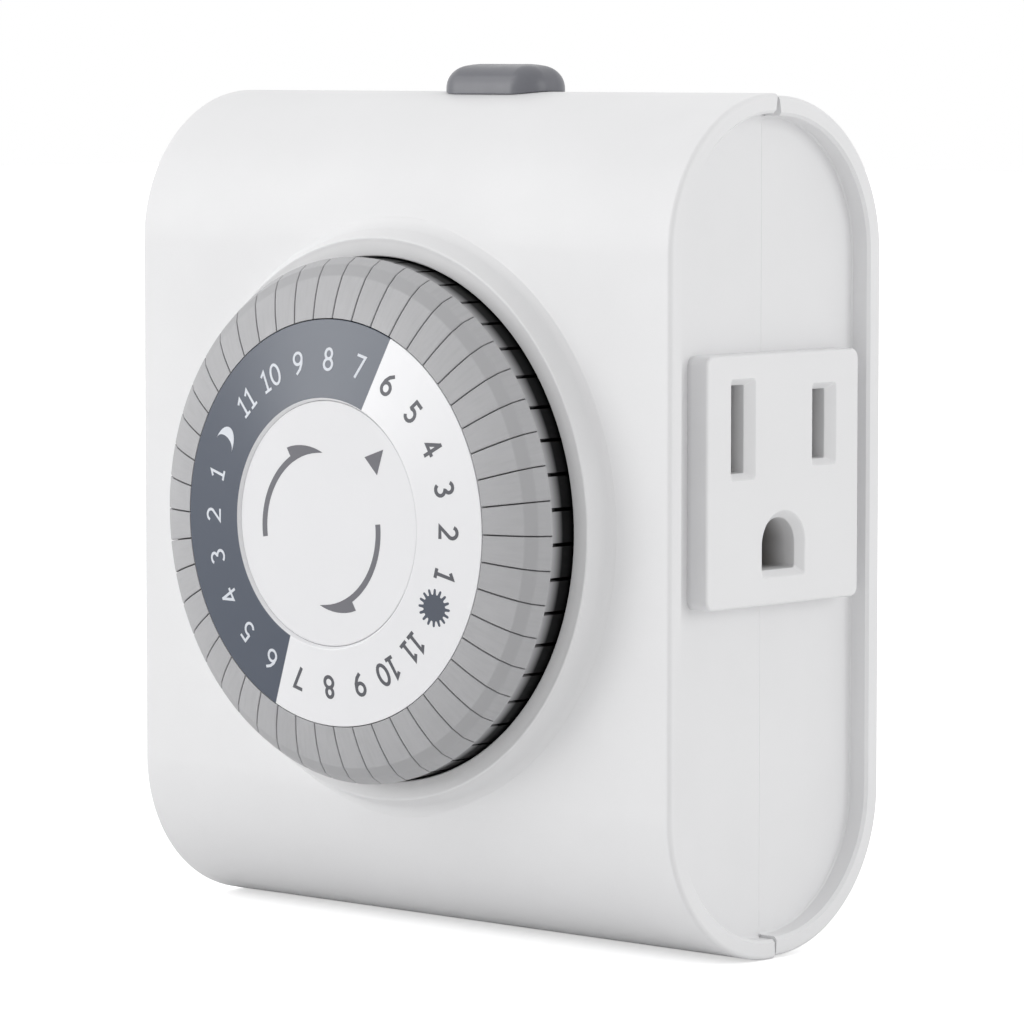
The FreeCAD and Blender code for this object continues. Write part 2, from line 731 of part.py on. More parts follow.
def make_tripper(index):
    """One tripper: a bevelled head and a shank in its pocket."""
    inner = ring_outer_radius + sliding_gap
    corners = [(inner, ring_outer_y), (tripper_bevel_radius, ring_outer_y + tripper_bevel_drop)]
    corners += [(tripper_edge_radius, ring_outer_y + tripper_edge_drop)]
    corners += [(tripper_radius, ring_outer_y + tripper_side_drop), (tripper_radius, head_back_y)]
    corners += [(inner, head_back_y)]
    gap_angle = math.degrees(tripper_slit / tripper_radius)
    head = turned(corners, tripper_pitch - gap_angle, index * tripper_pitch + gap_angle / 2)
    shank = shank_prism(index, 0.0, head_back_y - overlap, shank_back_y)
    return fused([head, shank])


def make_hour_pair(hour_place):
    """The two half hour trippers between one hour line and the next."""
    first = hour_place * trippers_per_hour
    pair = [make_tripper(first + i) for i in range(trippers_per_hour)]
    return Part.makeCompound(pair)


def make_idler_gear():
    """The idler: a small pinion in front that drives the dial and a large wheel behind."""
    pinion_front = dial_gear_front_y - seat_gap
    pinion = gear(idler_pinion_teeth, dial_module, pinion_front, idler_wheel_front_y, idler_z, False)
    wheel = gear(idler_wheel_teeth, motor_module, idler_wheel_front_y, idler_wheel_back_y, idler_z, True)
    hub = rod_y(idler_hub_radius, 0, idler_z, idler_wheel_back_y - overlap, chassis_y - seat_gap)
    body = fused([pinion, wheel, hub])
    return body.cut(rod_y(pin_radius + running_gap, 0, idler_z, pinion_front - past, chassis_y + past))


def make_idler_pin():
    """The steel pin that the idler turns on."""
    return rod_y(pin_radius, 0, idler_z, dial_gear_front_y, chassis_back_y)


def make_motor_pinion():
    """The motor's output pinion and shaft."""
    front = idler_wheel_front_y - free_gap
    pinion = gear(motor_teeth, motor_module, front, idler_wheel_back_y + free_gap, motor_z, False)
    shaft = rod_y(pin_radius, 0, motor_z, front + overlap, chassis_back_y + motor_shaft_depth)
    return fused([pinion, shaft])


def motor_ear_places():
    """The motor's two screw positions, left and right of its can."""
    return [(side * (motor_radius + motor_ear_length / 2), motor_z + motor_ear_rise) for side in (-1, 1)]


def make_motor_can():
    """The synchronous motor: a drawn can with two ears on its front flange."""
    corners = [(0, chassis_back_y), (motor_radius, chassis_back_y)]
    corners += [(motor_radius, motor_back_y - motor_bevel)]
    corners += [(motor_radius - motor_bevel, motor_back_y), (0, motor_back_y)]
    can = turned(corners)
    can.translate(V(0, 0, motor_z))
    x, z = motor_ear_places()[1]
    reach = x + motor_ear_width / 2
    flange = box(-reach, reach, chassis_back_y, chassis_back_y + motor_ear_thickness,
                 z - motor_ear_width / 2, z + motor_ear_width / 2)
    body = fused([can, flange])
    for x, z in motor_ear_places():
        body = body.cut(rod_y(small_screw_radius + sliding_gap, x, z, chassis_y, motor_back_y))
    room = chassis_back_y + motor_shaft_depth + free_gap
    return body.cut(rod_y(pin_radius + running_gap, 0, motor_z, chassis_y, room))


def make_motor_leads():
    """The two sheathed leads that bring power from the plug blades to the motor."""
    x = -blade_spacing / 2
    can_top = motor_z + math.sqrt((motor_radius - motor_bevel) ** 2 - x ** 2)
    low = V(x, neutral_lead_y, can_top)
    neutral = rod(lead_radius, low, V(x, neutral_lead_y, plug_blade_z - neutral_height / 2))
    neutral = neutral.cut(rod_y(motor_radius, 0, motor_z, chassis_back_y, motor_back_y))
    bend = V(-x, hot_lead_y, can_top - motor_bevel)
    hot = rod(lead_radius, bend, V(-x, hot_lead_y, plug_blade_z - hot_height / 2))
    foot = rod(lead_radius, V(-x, motor_back_y, bend.z), bend)
    elbow = Part.makeSphere(lead_radius, bend)
    return Part.makeCompound([neutral, fused([hot, elbow, foot])])


def make_chassis_plate():
    """The plate behind the dial well that carries the post, gears and motor."""
    top = box(-chassis_top_half_width, chassis_top_half_width, chassis_y, chassis_back_y,
              chassis_waist_z - overlap, chassis_top_z)
    low = box(-chassis_low_half_width, chassis_low_half_width, chassis_y, chassis_back_y,
              chassis_bottom_z, chassis_waist_z)
    plate = fused([top, low])
    upright = [e for e in plate.Edges if e.BoundBox.YLength > chassis_thickness / 2]
    plate = plate.makeFillet(chassis_corner, upright)
    holes = [(post_neck_radius + press_gap, 0, 0), (pin_radius + press_gap, 0, idler_z)]
    holes.append((pin_radius + free_gap, 0, motor_z))
    holes += [(small_screw_radius + sliding_gap, x, z) for x, z in chassis_screw_places()]
    holes += [(small_screw_radius + press_gap, x, z) for x, z in motor_ear_places()]
    y0, y1 = chassis_y - past, chassis_back_y + past
    return plate.cut([rod_y(radius, x, z, y0, y1) for radius, x, z in holes])


def pan_screw(x, z, seat_y, tip_y, shank, head, height):
    """A flat headed screw driven towards the front."""
    corners = [(0, tip_y), (shank, tip_y), (shank, seat_y), (head, seat_y), (head, seat_y + height)]
    screw = turned(corners + [(0, seat_y + height)])
    screw.translate(V(x, 0, z))
    return screw


def make_housing_screws():
    """The four screws that hold the two shells together, with a cross recess in each head."""
    seat_y = screw_head_y - screw_head_height
    arm = screw_head_radius * recess_arm
    slot = screw_head_radius * recess_slot
    deep = screw_head_y - screw_head_height * recess_depth
    screws = []
    for x, z in screw_places():
        screw = pan_screw(x, z, seat_y, screw_tip_y, screw_radius, screw_head_radius, screw_head_height)
        screw = screw.cut(box(x - arm, x + arm, deep, screw_head_y + past, z - slot, z + slot))
        screws.append(screw.cut(box(x - slot, x + slot, deep, screw_head_y + past, z - arm, z + arm)))
    return Part.makeCompound(screws)


def make_chassis_screws():
    """The four screws that hold the chassis plate to the front shell."""
    tip_y = chassis_y - small_screw_grip
    return Part.makeCompound([pan_screw(x, z, chassis_back_y, tip_y, small_screw_radius, small_head_radius,
                                        small_head_height) for x, z in chassis_screw_places()])


def make_motor_screws():
    """The two screws that hold the motor to the chassis plate."""
    seat_y = chassis_back_y + motor_ear_thickness
    return Part.makeCompound([pan_screw(x, z, seat_y, chassis_y, small_screw_radius, small_head_radius,
                                        small_head_height) for x, z in motor_ear_places()])


def plug_blade(x, tall, inner_y):
    """A flat plug blade with bevelled tip and the usual round hole near its end."""
    half = blade_thickness / 2
    tip = blade_reach
    bevel = blade_tip_bevel
    corners = [V(x - half, inner_y, 0), V(x + half, inner_y, 0), V(x + half, tip - 2 * bevel, 0)]
    corners += [V(x + half - bevel, tip, 0), V(x - half + bevel, tip, 0), V(x - half, tip - 2 * bevel, 0)]
    blade = prism(corners, V(0, 0, tall))
    blade.translate(V(0, 0, plug_blade_z - tall / 2))
    hole_y = tip - blade_hole_from_tip
    start = V(x - half - past, hole_y, plug_blade_z)
    return blade.cut(rod(blade_hole_radius, start, V(x + half + past, hole_y, plug_blade_z)))


def make_neutral_blade():
    """The wide plug blade, with a tab that rises to the neutral bus."""
    x = -blade_spacing / 2
    half = blade_thickness / 2
    blade = plug_blade(x, neutral_height, neutral_tab_front_y)
    tab = box(x - half, x + half, neutral_tab_front_y, neutral_tab_rear_y, plug_blade_z, contact_top_z)
    return fused([blade, tab])


def make_hot_blade():
    """The narrow plug blade, with a tab that rises to the fixed contact."""
    x = blade_spacing / 2
    half = blade_thickness / 2
    blade = plug_blade(x, hot_height, hot_tab_front_y)
    tab = box(x - half, x + half, hot_tab_front_y, hot_tab_rear_y, plug_blade_z, hot_tab_top_z)
    return fused([blade, tab])


def make_ground_pin():
    """The round ground pin: bullet tip, a neck through the plug pad and a collar inside."""
    r = ground_pin_radius
    neck = ground_neck_radius
    front_of_collar = collar_back_y - ground_collar
    corners = [(0, front_of_collar), (r + ground_collar_step, front_of_collar)]
    corners += [(r + ground_collar_step, collar_back_y), (neck, collar_back_y), (neck, seat_gap)]
    corners += [(r, seat_gap), (r, ground_pin_reach - r)]
    for share in (1, 2, 3):
        angle = math.radians(90.0 * share / 3)
        corners.append((r * math.cos(angle), ground_pin_reach - r + r * math.sin(angle)))
    pin = turned(corners[:-1] + [(0, ground_pin_reach)])
    pin.translate(V(0, 0, plug_ground_z))
    return pin


def outlet_clip(y):
    """A springy U of brass that grips a plug blade in the right outlet."""
    out = contact_gap / 2 + leaf
    block = box(contact_inner_x, contact_outer_x, y - out, y + out, contact_low_z, contact_top_z)
    room = box(contact_inner_x + leaf, contact_outer_x + past, y - contact_gap / 2, y + contact_gap / 2,
               contact_low_z - past, contact_top_z + past)
    return block.cut(room)


def cross_strip(front_on_right, z):
    """A flat brass strip that runs from one outlet's clip to the other's."""
    lean = -1 if front_on_right else 1
    y_right = outlet_y + lean * blade_spacing / 2
    y_left = outlet_y - lean * blade_spacing / 2
    half = strip_width / 2
    end_x = contact_inner_x + strip_width
    corners = [V(end_x, y_right - half, z), V(end_x, y_right + half, z)]
    corners += [V(contact_inner_x, y_right + half, z), V(-contact_inner_x, y_left + half, z)]
    corners += [V(-end_x, y_left + half, z)]
    corners += [V(-end_x, y_left - half, z), V(-contact_inner_x, y_left - half, z)]
    corners += [V(contact_inner_x, y_right - half, z)]
    return prism(corners, V(0, 0, brass))


def make_neutral_bus():
    """The neutral bus bar with a clip for each outlet."""
    clip = outlet_clip(outlet_y - blade_spacing / 2)
    return fused([clip, half_turn(clip), cross_strip(True, contact_top_z)])


def make_switched_bus():
    """The switched bus bar with a clip for each outlet and the root of the leaf contact."""
    clip = outlet_clip(outlet_y + blade_spacing / 2)
    low_z = contact_low_z - brass
    strip = cross_strip(False, low_z)
    half = leaf_spring_width / 2
    leaf_back = leaf_spring_y + leaf_spring_thickness
    foot = box(-half, half, leaf_back, outlet_y, contact_low_z, contact_low_z + brass)
    root_top_z = leaf_spring_root_z - seat_gap
    upright = box(-half, half, leaf_back, leaf_back + brass, contact_low_z, root_top_z)
    root = box(-half, half, leaf_spring_y, leaf_back, contact_low_z + leaf_foot_gap, root_top_z)
    return fused([clip, half_turn(clip), strip, foot, upright, root])


def make_ground_bus():
    """The ground bus bar with a round sleeve for each outlet and a tab for the ground pin."""
    z = outlet_ground_z
    start = V(ground_sleeve_inner_x, outlet_y, z)
    end = V(contact_outer_x, outlet_y, z)
    outer = rod(ground_sleeve_radius + ground_sleeve_wall, start, end)
    bore = rod(ground_sleeve_radius, start + V(brass, 0, 0), end + V(past, 0, 0))
    sleeve = outer.cut(bore)
    half = strip_width / 2
    span = ground_sleeve_inner_x + brass / 2
    strip = box(-span, span, outlet_y - half, outlet_y + half, z - brass / 2, z + brass / 2)
    pin_y = collar_back_y - ground_collar
    branch = box(-half, half, outlet_y, pin_y, z - brass / 2, z + brass / 2)
    tab = box(-half, half, pin_y - brass, pin_y, plug_ground_z - ground_pin_radius, z + brass / 2)
    return fused([sleeve, half_turn(sleeve), strip, branch, tab])


def make_fixed_contact():
    """The fixed contact, an angle of brass riveted to the hot blade's tab."""
    button_back = leaf_spring_y + leaf_spring_thickness + button_height + seat_gap + button_height
    button_front = button_back - button_height
    side_x = blade_spacing / 2 + blade_thickness / 2
    half = button_plate_height / 2
    face = box(-button_radius - button_plate_margin, side_x + brass, button_back, button_back + brass,
               button_z - half, button_z + half)
    arm_low_z = hot_tab_top_z - button_plate_height
    arm = box(side_x, side_x + brass, button_back, hot_tab_rear_y, arm_low_z, hot_tab_top_z)
    button = rod_y(button_radius, 0, button_z, button_front, button_back)
    return fused([face, arm, button])


def make_moving_contact():
    """The springy leaf contact that the lever presses on."""
    half = leaf_spring_width / 2
    leaf_back = leaf_spring_y + leaf_spring_thickness
    blade = box(-half, half, leaf_spring_y, leaf_back, leaf_spring_root_z, leaf_spring_top_z)
    button = rod_y(button_radius, 0, button_z, leaf_back, leaf_back + button_height)
    return fused([blade, button])


def make_switch_lever():
    """The lever whose finger reads the trippers through a window in the well's floor."""
    half = lever_width / 2
    x0, x1 = follower_x - half, follower_x + half
    arm_back = lever_arm_front_y + lever_arm_thickness
    low_z = follower_z - follower_thickness / 2
    arm = box(x0, x1, lever_arm_front_y, arm_back, low_z, lever_tail_z)
    finger = box(follower_x - follower_width / 2, follower_x + follower_width / 2, shank_back_y + free_gap,
                 lever_arm_front_y + overlap, low_z, low_z + follower_thickness)
    boss_low, boss_top = lever_pivot_z - lever_boss_radius, lever_pivot_z + lever_boss_radius
    boss = rod(lever_boss_radius, V(x0, lever_pivot_y, lever_pivot_z), V(x1, lever_pivot_y, lever_pivot_z))
    web = box(x0, x1, lever_pivot_y, arm_back, boss_low, boss_top)
    nose_low = lever_nose_z - lever_nose_height / 2
    nose_y = leaf_spring_y - lever_nose_gap
    nose = box(x0, x1, arm_back - overlap, nose_y, nose_low, nose_low + lever_nose_height)
    return fused([arm, finger, boss, web, nose]).cut(lever_axis(pin_radius + running_gap, past))


def make_lever_pin():
    """The steel pin that the lever rocks on."""
    return lever_axis(pin_radius, ear_thickness)


def make_override_knob():
    """The soft edged slide knob on top, with a stem that passes through the roof."""
    low_z = half_height + knob_lift
    half_x = knob_length / 2
    half_y = knob_width / 2
    cap = box(-half_x, half_x, parting_y - half_y, parting_y + half_y, low_z, low_z + knob_height)
    upright = [e for e in cap.Edges if e.BoundBox.ZLength > knob_height / 2]
    cap = cap.makeFillet(knob_corner, upright)
    cap = cap.makeFillet(knob_top_round, edges_on_plane(cap, "z", low_z + knob_height))
    stem = box(-knob_stem_length / 2, knob_stem_length / 2, parting_y - knob_stem_width / 2,
               parting_y + knob_stem_width / 2, slide_low_z, low_z + overlap)
    return fused([cap, stem])


def make_override_slide():
    """The slide under the roof that the knob moves, with a cam that can lock the lever's tail."""
    half_x = slide_plate_length / 2
    half_y = slide_plate_width / 2
    plate = box(-half_x, half_x, parting_y - half_y, parting_y + half_y, slide_low_z, slide_top_z)
    cam_front = lever_arm_front_y + lever_arm_thickness + free_gap
    near_x = follower_x + lever_width / 2 + overlap
    far_x = near_x + slide_cam_length
    cam = prism([V(near_x, parting_y, slide_low_z), V(near_x, cam_front + slide_cam_ramp, slide_low_z),
                 V(near_x + slide_cam_ramp, cam_front, slide_low_z), V(far_x, cam_front, slide_low_z),
                 V(far_x, parting_y, slide_low_z)], V(0, 0, -slide_cam_drop))
    body = fused([plate, cam])
    half_x = knob_stem_length / 2 + press_gap
    half_y = knob_stem_width / 2 + press_gap
    return body.cut(box(-half_x, half_x, parting_y - half_y, parting_y + half_y,
                        slide_low_z - past, slide_top_z + past))


def save(name, shape):
    """Write one sub-part to its own file."""
    shape.exportStep("parts/" + name + ".step")


os.makedirs("parts", exist_ok=True)
right_face = make_outlet_face()
save("front_cover", make_front_cover())
save("rear_cover", make_rear_cover())
save("right_outlet_face", right_face)
save("left_outlet_face", half_turn(right_face))
save("centre_disc", make_centre_disc())
save("dial_post", make_dial_post())
save("chassis_plate", make_chassis_plate())
save("chassis_screws", make_chassis_screws())
save("housing_screws", make_housing_screws())
save("motor_can", make_motor_can())
save("motor_screws", make_motor_screws())
save("motor_leads", make_motor_leads())
save("idler_pin", make_idler_pin())
save("lever_pin", make_lever_pin())
save("neutral_blade", make_neutral_blade())
save("hot_blade", make_hot_blade())
save("ground_pin", make_ground_pin())
save("neutral_bus", make_neutral_bus())
save("switched_bus", make_switched_bus())
save("ground_bus", make_ground_bus())
save("fixed_contact", make_fixed_contact())
save("dial_carrier", make_dial_carrier())
save("number_ring", make_number_ring())
save("idler_gear", make_idler_gear())
save("motor_pinion", make_motor_pinion())
save("switch_lever", make_switch_lever())
save("moving_contact", make_moving_contact())
save("override_knob", make_override_knob())
save("override_slide", make_override_slide())

# The hours run anticlockwise on the dial
hours_on_dial = trippers_on_dial // trippers_per_hour
for place in range(hours_on_dial):
    hour = (hour_at_top - 1 - place) % hours_on_dial
    save("trippers_hour_%02d" % hour, make_hour_pair(place))
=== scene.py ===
# %% [markdown]
# # A plug-in timer with a tripper dial
# The object is a white timer that plugs into a wall outlet. A dial with 48 grey trippers turns
# once a day on its front, an outlet sits in a recess on each side, and a dark slide knob rides
# on top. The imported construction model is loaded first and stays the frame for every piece.
# Sizes below are written in millimetres, because the makers' drawings are, and each mesh is
# scaled to metres only when it is finished.

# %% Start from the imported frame
import bpy
import bmesh
import json
import math
from mathutils import Matrix, Vector

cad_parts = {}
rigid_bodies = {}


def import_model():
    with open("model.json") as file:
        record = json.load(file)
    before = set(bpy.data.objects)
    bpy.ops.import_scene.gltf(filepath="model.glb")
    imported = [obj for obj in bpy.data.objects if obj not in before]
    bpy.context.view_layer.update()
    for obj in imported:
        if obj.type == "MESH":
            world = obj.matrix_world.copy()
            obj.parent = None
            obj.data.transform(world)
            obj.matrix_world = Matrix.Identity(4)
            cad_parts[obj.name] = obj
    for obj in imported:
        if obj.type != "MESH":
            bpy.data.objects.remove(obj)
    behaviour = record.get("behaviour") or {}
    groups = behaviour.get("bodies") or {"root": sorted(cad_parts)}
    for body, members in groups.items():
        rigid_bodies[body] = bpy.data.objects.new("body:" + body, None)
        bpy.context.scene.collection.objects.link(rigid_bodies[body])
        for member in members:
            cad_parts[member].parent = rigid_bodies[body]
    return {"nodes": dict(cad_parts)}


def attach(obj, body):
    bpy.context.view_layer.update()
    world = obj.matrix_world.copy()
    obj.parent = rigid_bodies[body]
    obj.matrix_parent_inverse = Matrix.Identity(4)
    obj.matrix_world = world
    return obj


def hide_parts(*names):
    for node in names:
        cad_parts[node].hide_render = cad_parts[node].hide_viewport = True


for thing in list(bpy.data.objects):
    bpy.data.objects.remove(thing)
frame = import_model()
bpy.context.view_layer.update()
scene = bpy.context.scene

# %% [markdown]
# Every colour is written as it looks on screen, from 0 to 255, and turned into the linear
# value that the shader wants. Doing this in one helper keeps the numbers readable.

# %% Colours and small mesh helpers


def tone(r, g, b):
    """A screen colour as a linear shader colour."""
    linear = [((v / 255 + 0.055) / 1.055) ** 2.4 for v in (r, g, b)]
    return (*linear, 1.0)


def placed(name, data):
    """A new object in the scene with this data."""
    thing = bpy.data.objects.new(name, data)
    scene.collection.objects.link(thing)
    return thing


def piece(name, points, faces):
    """A new object from points in millimetres."""
    mesh = bpy.data.meshes.new(name)
    mesh.from_pydata(points, [], faces)
    tidy = bmesh.new()
    tidy.from_mesh(mesh)
    bmesh.ops.remove_doubles(tidy, verts=tidy.verts, dist=0.0005)
    bmesh.ops.recalc_face_normals(tidy, faces=tidy.faces)
    tidy.to_mesh(mesh)
    tidy.free()
    return placed(name, mesh)


def loft(name, rings):
    """A closed skin over rings that hold the same number of points."""
    count = len(rings[0])
    points = [p for ring in rings for p in ring]
    faces = [tuple(range(count)), tuple(range(len(points) - count, len(points)))]
    for a in range(0, len(points) - count, count):
        for j in range(count):
            k = (j + 1) % count
            faces.append((a + j, a + k, a + count + k, a + count + j))
    return piece(name, points, faces)


def spin(name, profile, steps=160):
    """A closed (radius, y) profile turned about the Y axis."""
    points, rows, faces = [], [], []
    for r, y in profile:
        if r < 1e-6:
            rows.append([len(points)] * steps)
            points.append((0, y, 0))
        else:
            rows.append([len(points) + i for i in range(steps)])
            turns = [2 * math.pi * i / steps for i in range(steps)]
            points += [(r * math.sin(t), y, r * math.cos(t)) for t in turns]
    for row, following in zip(rows, rows[1:] + rows[:1]):
        for i in range(steps):
            k = (i + 1) % steps
            corners = list(dict.fromkeys((row[i], row[k], following[k], following[i])))
            if len(corners) > 2:
                faces.append(corners)
    return piece(name, points, faces)


def box(name, x0, x1, y0, y1, z0, z1):
    """A block, used only as a cutter or a hidden rib."""
    rings = [[(x, y0, z0), (x, y1, z0), (x, y1, z1), (x, y0, z1)] for x in (x0, x1)]
    return loft(name, rings)


def soften(profile, radii, steps=4):
    """The profile with its corners rounded; radius 0 keeps a corner sharp."""
    out = []
    for i, (point, r) in enumerate(zip(profile, radii)):
        here = Vector(point)
        before = Vector(profile[i - 1]) - here
        after = Vector(profile[(i + 1) % len(profile)]) - here
        if r == 0:
            out.append(tuple(here))
            continue
        back = min(r, before.length * 0.49)
        on = min(r, after.length * 0.49)
        start, end = here + before.normalized() * back, here + after.normalized() * on
        for s in range(steps + 1):
            t = s / steps
            out.append(tuple(start * (1 - t) ** 2 + here * 2 * t * (1 - t) + end * t ** 2))
    return out


def settled(thing):
    """The object's mesh with its modifiers applied, and the modifiers gone."""
    seen = thing.evaluated_get(bpy.context.evaluated_depsgraph_get())
    mesh = bpy.data.meshes.new_from_object(seen)
    thing.modifiers.clear()
    thing.data = mesh
    return thing


def carve(thing, tool, how="DIFFERENCE"):
    """Cut, join or intersect with another object, which is used up."""
    step = thing.modifiers.new("carve", "BOOLEAN")
    step.operation, step.solver, step.object = how, "EXACT", tool
    settled(thing)
    bpy.data.objects.remove(tool)
    return thing


def in_metres(thing):
    """The mesh scaled from millimetres to metres."""
    thing.data.transform(Matrix.Scale(0.001, 4))
    return thing


def finish(thing, angle=32):
    """Weld the mesh, smooth all but its sharp edges, and scale it."""
    tidy = bmesh.new()
    tidy.from_mesh(thing.data)
    bmesh.ops.remove_doubles(tidy, verts=tidy.verts, dist=0.0004)
    bmesh.ops.dissolve_degenerate(tidy, dist=0.0004, edges=tidy.edges)
    for face in tidy.faces:
        face.smooth = True
    tidy.to_mesh(thing.data)
    tidy.free()
    thing.data.set_sharp_from_angle(angle=math.radians(angle))
    level = thing.modifiers.new("level", "WEIGHTED_NORMAL")
    level.keep_sharp, level.weight = True, 80
    settled(thing)
    thing.data.name = thing.name
    return in_metres(thing)


def dress(thing, material, slot, body, *nodes):
    """Give a piece its material and its place in the frame."""
    thing.data.materials.clear()
    thing.data.materials.append(material)
    for polygon in thing.data.polygons:
        polygon.material_index = 0
    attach(thing, body)
    if nodes:
        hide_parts(*nodes)
    print(thing.name, "faces:", len(thing.data.polygons))
    return thing


# %% [markdown]
# ## Shared finishes
# Materials and node groups are built from a few helpers. The first makes a math node from
# numbers and sockets. The next two read the Object coordinates, which stay with a piece when its
# joint moves.

# %% Node helpers


def reckon(tree, operation, *values):
    """One math node; sockets are linked to it and numbers are set on it."""
    step = tree.nodes.new("ShaderNodeMath")
    step.operation = operation
    for socket, value in zip(step.inputs, values):
        if isinstance(value, float):
            socket.default_value = value
        else:
            tree.links.new(value, socket)
    return step.outputs[0]


def own_axes(tree):
    """X, Y and Z of the Object coordinates, by name."""
    split = tree.nodes.new("ShaderNodeSeparateXYZ")
    tree.links.new(tree.nodes.new("ShaderNodeTexCoord").outputs["Object"], split.inputs[0])
    return split.outputs


def reach_of(tree, axes):
    """The distance from the dial's axis."""
    squares = [reckon(tree, "MULTIPLY", axes[name], axes[name]) for name in "XZ"]
    return reckon(tree, "POWER", reckon(tree, "ADD", *squares), 0.5)


def new_group(name, inputs, outputs):
    """A shader group with named float sockets: its tree, its input node and its output node."""
    tree = bpy.data.node_groups.new(name, "ShaderNodeTree")
    for socket, value in inputs:
        made = tree.interface.new_socket(socket, in_out="INPUT", socket_type="NodeSocketFloat")
        made.default_value = value
    for socket in outputs:
        tree.interface.new_socket(socket, in_out="OUTPUT", socket_type="NodeSocketFloat")
    return tree, tree.nodes.new("NodeGroupInput"), tree.nodes.new("NodeGroupOutput")


def noise_output(group, size, source, target, detail, roughness=0.5):
    """A noise from one of the group's sizes to one of its outputs."""
    tree, given, made = group
    noise = tree.nodes.new("ShaderNodeTexNoise")
    noise.inputs["Detail"].default_value = detail
    noise.inputs["Roughness"].default_value = roughness
    tree.links.new(source, noise.inputs["Vector"])
    # A size in millimetres becomes a noise scale on coordinates in metres
    tree.links.new(reckon(tree, "DIVIDE", 1000.0, given.outputs[size]), noise.inputs["Scale"])
    tree.links.new(noise.outputs["Fac"], made.inputs[target])


# %% [markdown]
# The housing is moulded in a spark-eroded tool, so its skin has a very fine grain and a broad,
# faint unevenness. Both come from noise in one node group that every plastic uses with its own
# grain size. The group puts out only masks; each material keeps its own shader.

# %% The moulded skin as a node group
skin = new_group("moulded skin", [("Grain size", 0.16), ("Patch size", 18.0)], ["Grain", "Patches"])
place = skin[0].nodes.new("ShaderNodeTexCoord").outputs["Object"]
noise_output(skin, "Grain size", place, "Grain", 2.0, 0.55)
noise_output(skin, "Patch size", place, "Patches", 3.0, 0.55)
print("group:", skin[0].name)

# %% [markdown]
# Metal parts inside and on the plug are stamped or drawn. Their group stretches the noise along
# one axis, which reads as rolling or drawing marks, and adds a blotchy tarnish mask.

# %% The drawn metal group
drawn = new_group("drawn metal", [("Mark size", 0.35), ("Tarnish size", 4.0)], ["Marks", "Tarnish"])
place = drawn[0].nodes.new("ShaderNodeTexCoord").outputs["Object"]
stretch = drawn[0].nodes.new("ShaderNodeMapping")
stretch.inputs["Scale"].default_value = (1.0, 0.12, 1.0)
drawn[0].links.new(place, stretch.inputs["Vector"])
noise_output(drawn, "Mark size", stretch.outputs["Vector"], "Marks", 4.0)
noise_output(drawn, "Tarnish size", place, "Tarnish", 4.0)
print("group:", drawn[0].name)

# %% Material builders


def blank(name):
    """A material with one Principled shader: the material, its tree and the shader."""
    material = bpy.data.materials.new(name)
    material.use_nodes = True
    tree = material.node_tree
    return material, tree, tree.nodes["Principled BSDF"]


def add_group(tree, group):
    """A node of a shared group in a material's tree."""
    node = tree.nodes.new("ShaderNodeGroup")
    node.node_tree = group[0]
    return node


def blend(tree, factor, first, second):
    """Mix two colours, screen colours or sockets, by a factor socket."""
    mix = tree.nodes.new("ShaderNodeMix")
    mix.data_type = "RGBA"
    tree.links.new(factor, mix.inputs["Factor"])
    for socket, colour in ((mix.inputs[6], first), (mix.inputs[7], second)):
        if isinstance(colour, tuple):
            socket.default_value = tone(*colour)
        else:
            tree.links.new(colour, socket)
    return mix.outputs[2]


def spread(tree, value, low, high, start=0.3, end=0.7):
    """Map what a value does between start and end onto low to high."""
    span = tree.nodes.new("ShaderNodeMapRange")
    for socket, number in zip(("From Min", "From Max", "To Min", "To Max"), (start, end, low, high)):
        span.inputs[socket].default_value = number
    tree.links.new(value, span.inputs["Value"])
    return span.outputs["Result"]


def bump(tree, shader, height, strength, depth):
    """Raise the surface by a depth in millimetres, through the Normal."""
    relief = tree.nodes.new("ShaderNodeBump")
    relief.inputs["Strength"].default_value = strength
    relief.inputs["Distance"].default_value = depth / 1000
    tree.links.new(height, relief.inputs["Height"])
    tree.links.new(relief.outputs["Normal"], shader.inputs["Normal"])


def plastic(name, light, dark, rough=(0.42, 0.5), grain=0.16, depth=0.012, patch=18.0):
    """A moulded plastic: two near colours in patches over a fine grain."""
    material, tree, shader = blank(name)
    group = add_group(tree, skin)
    group.inputs["Grain size"].default_value = grain
    group.inputs["Patch size"].default_value = patch
    fine = spread(tree, group.outputs["Grain"], 0.0, 0.25)
    both = reckon(tree, "ADD", fine, spread(tree, group.outputs["Patches"], 0.0, 0.75))
    tree.links.new(blend(tree, both, light, dark), shader.inputs["Base Color"])
    tree.links.new(spread(tree, group.outputs["Patches"], *rough), shader.inputs["Roughness"])
    shader.inputs["IOR"].default_value = 1.49
    bump(tree, shader, group.outputs["Grain"], 0.35, depth)
    return material


def ink(name, light, dark):
    """A printed ink: thin, smooth and a little glossier than the plastic."""
    return plastic(name, light, dark, rough=(0.34, 0.42), grain=0.08, depth=0.003)


def metal(name, light, dark, rough=(0.22, 0.38)):
    """A bare metal with drawing marks and a little tarnish."""
    material, tree, shader = blank(name)
    group = add_group(tree, drawn)
    tarnish = spread(tree, group.outputs["Tarnish"], 0.0, 1.0)
    tree.links.new(blend(tree, tarnish, light, dark), shader.inputs["Base Color"])
    tree.links.new(spread(tree, group.outputs["Marks"], *rough), shader.inputs["Roughness"])
    shader.inputs["Metallic"].default_value = 1.0
    bump(tree, shader, group.outputs["Marks"], 0.25, 0.01)
    return material


def recolour(material, mask, colour):
    """Lay another colour over a material's own where a mask says."""
    tree = material.node_tree
    target = tree.nodes["Principled BSDF"].inputs["Base Color"]
    tree.links.new(blend(tree, mask, target.links[0].from_socket, colour), target)


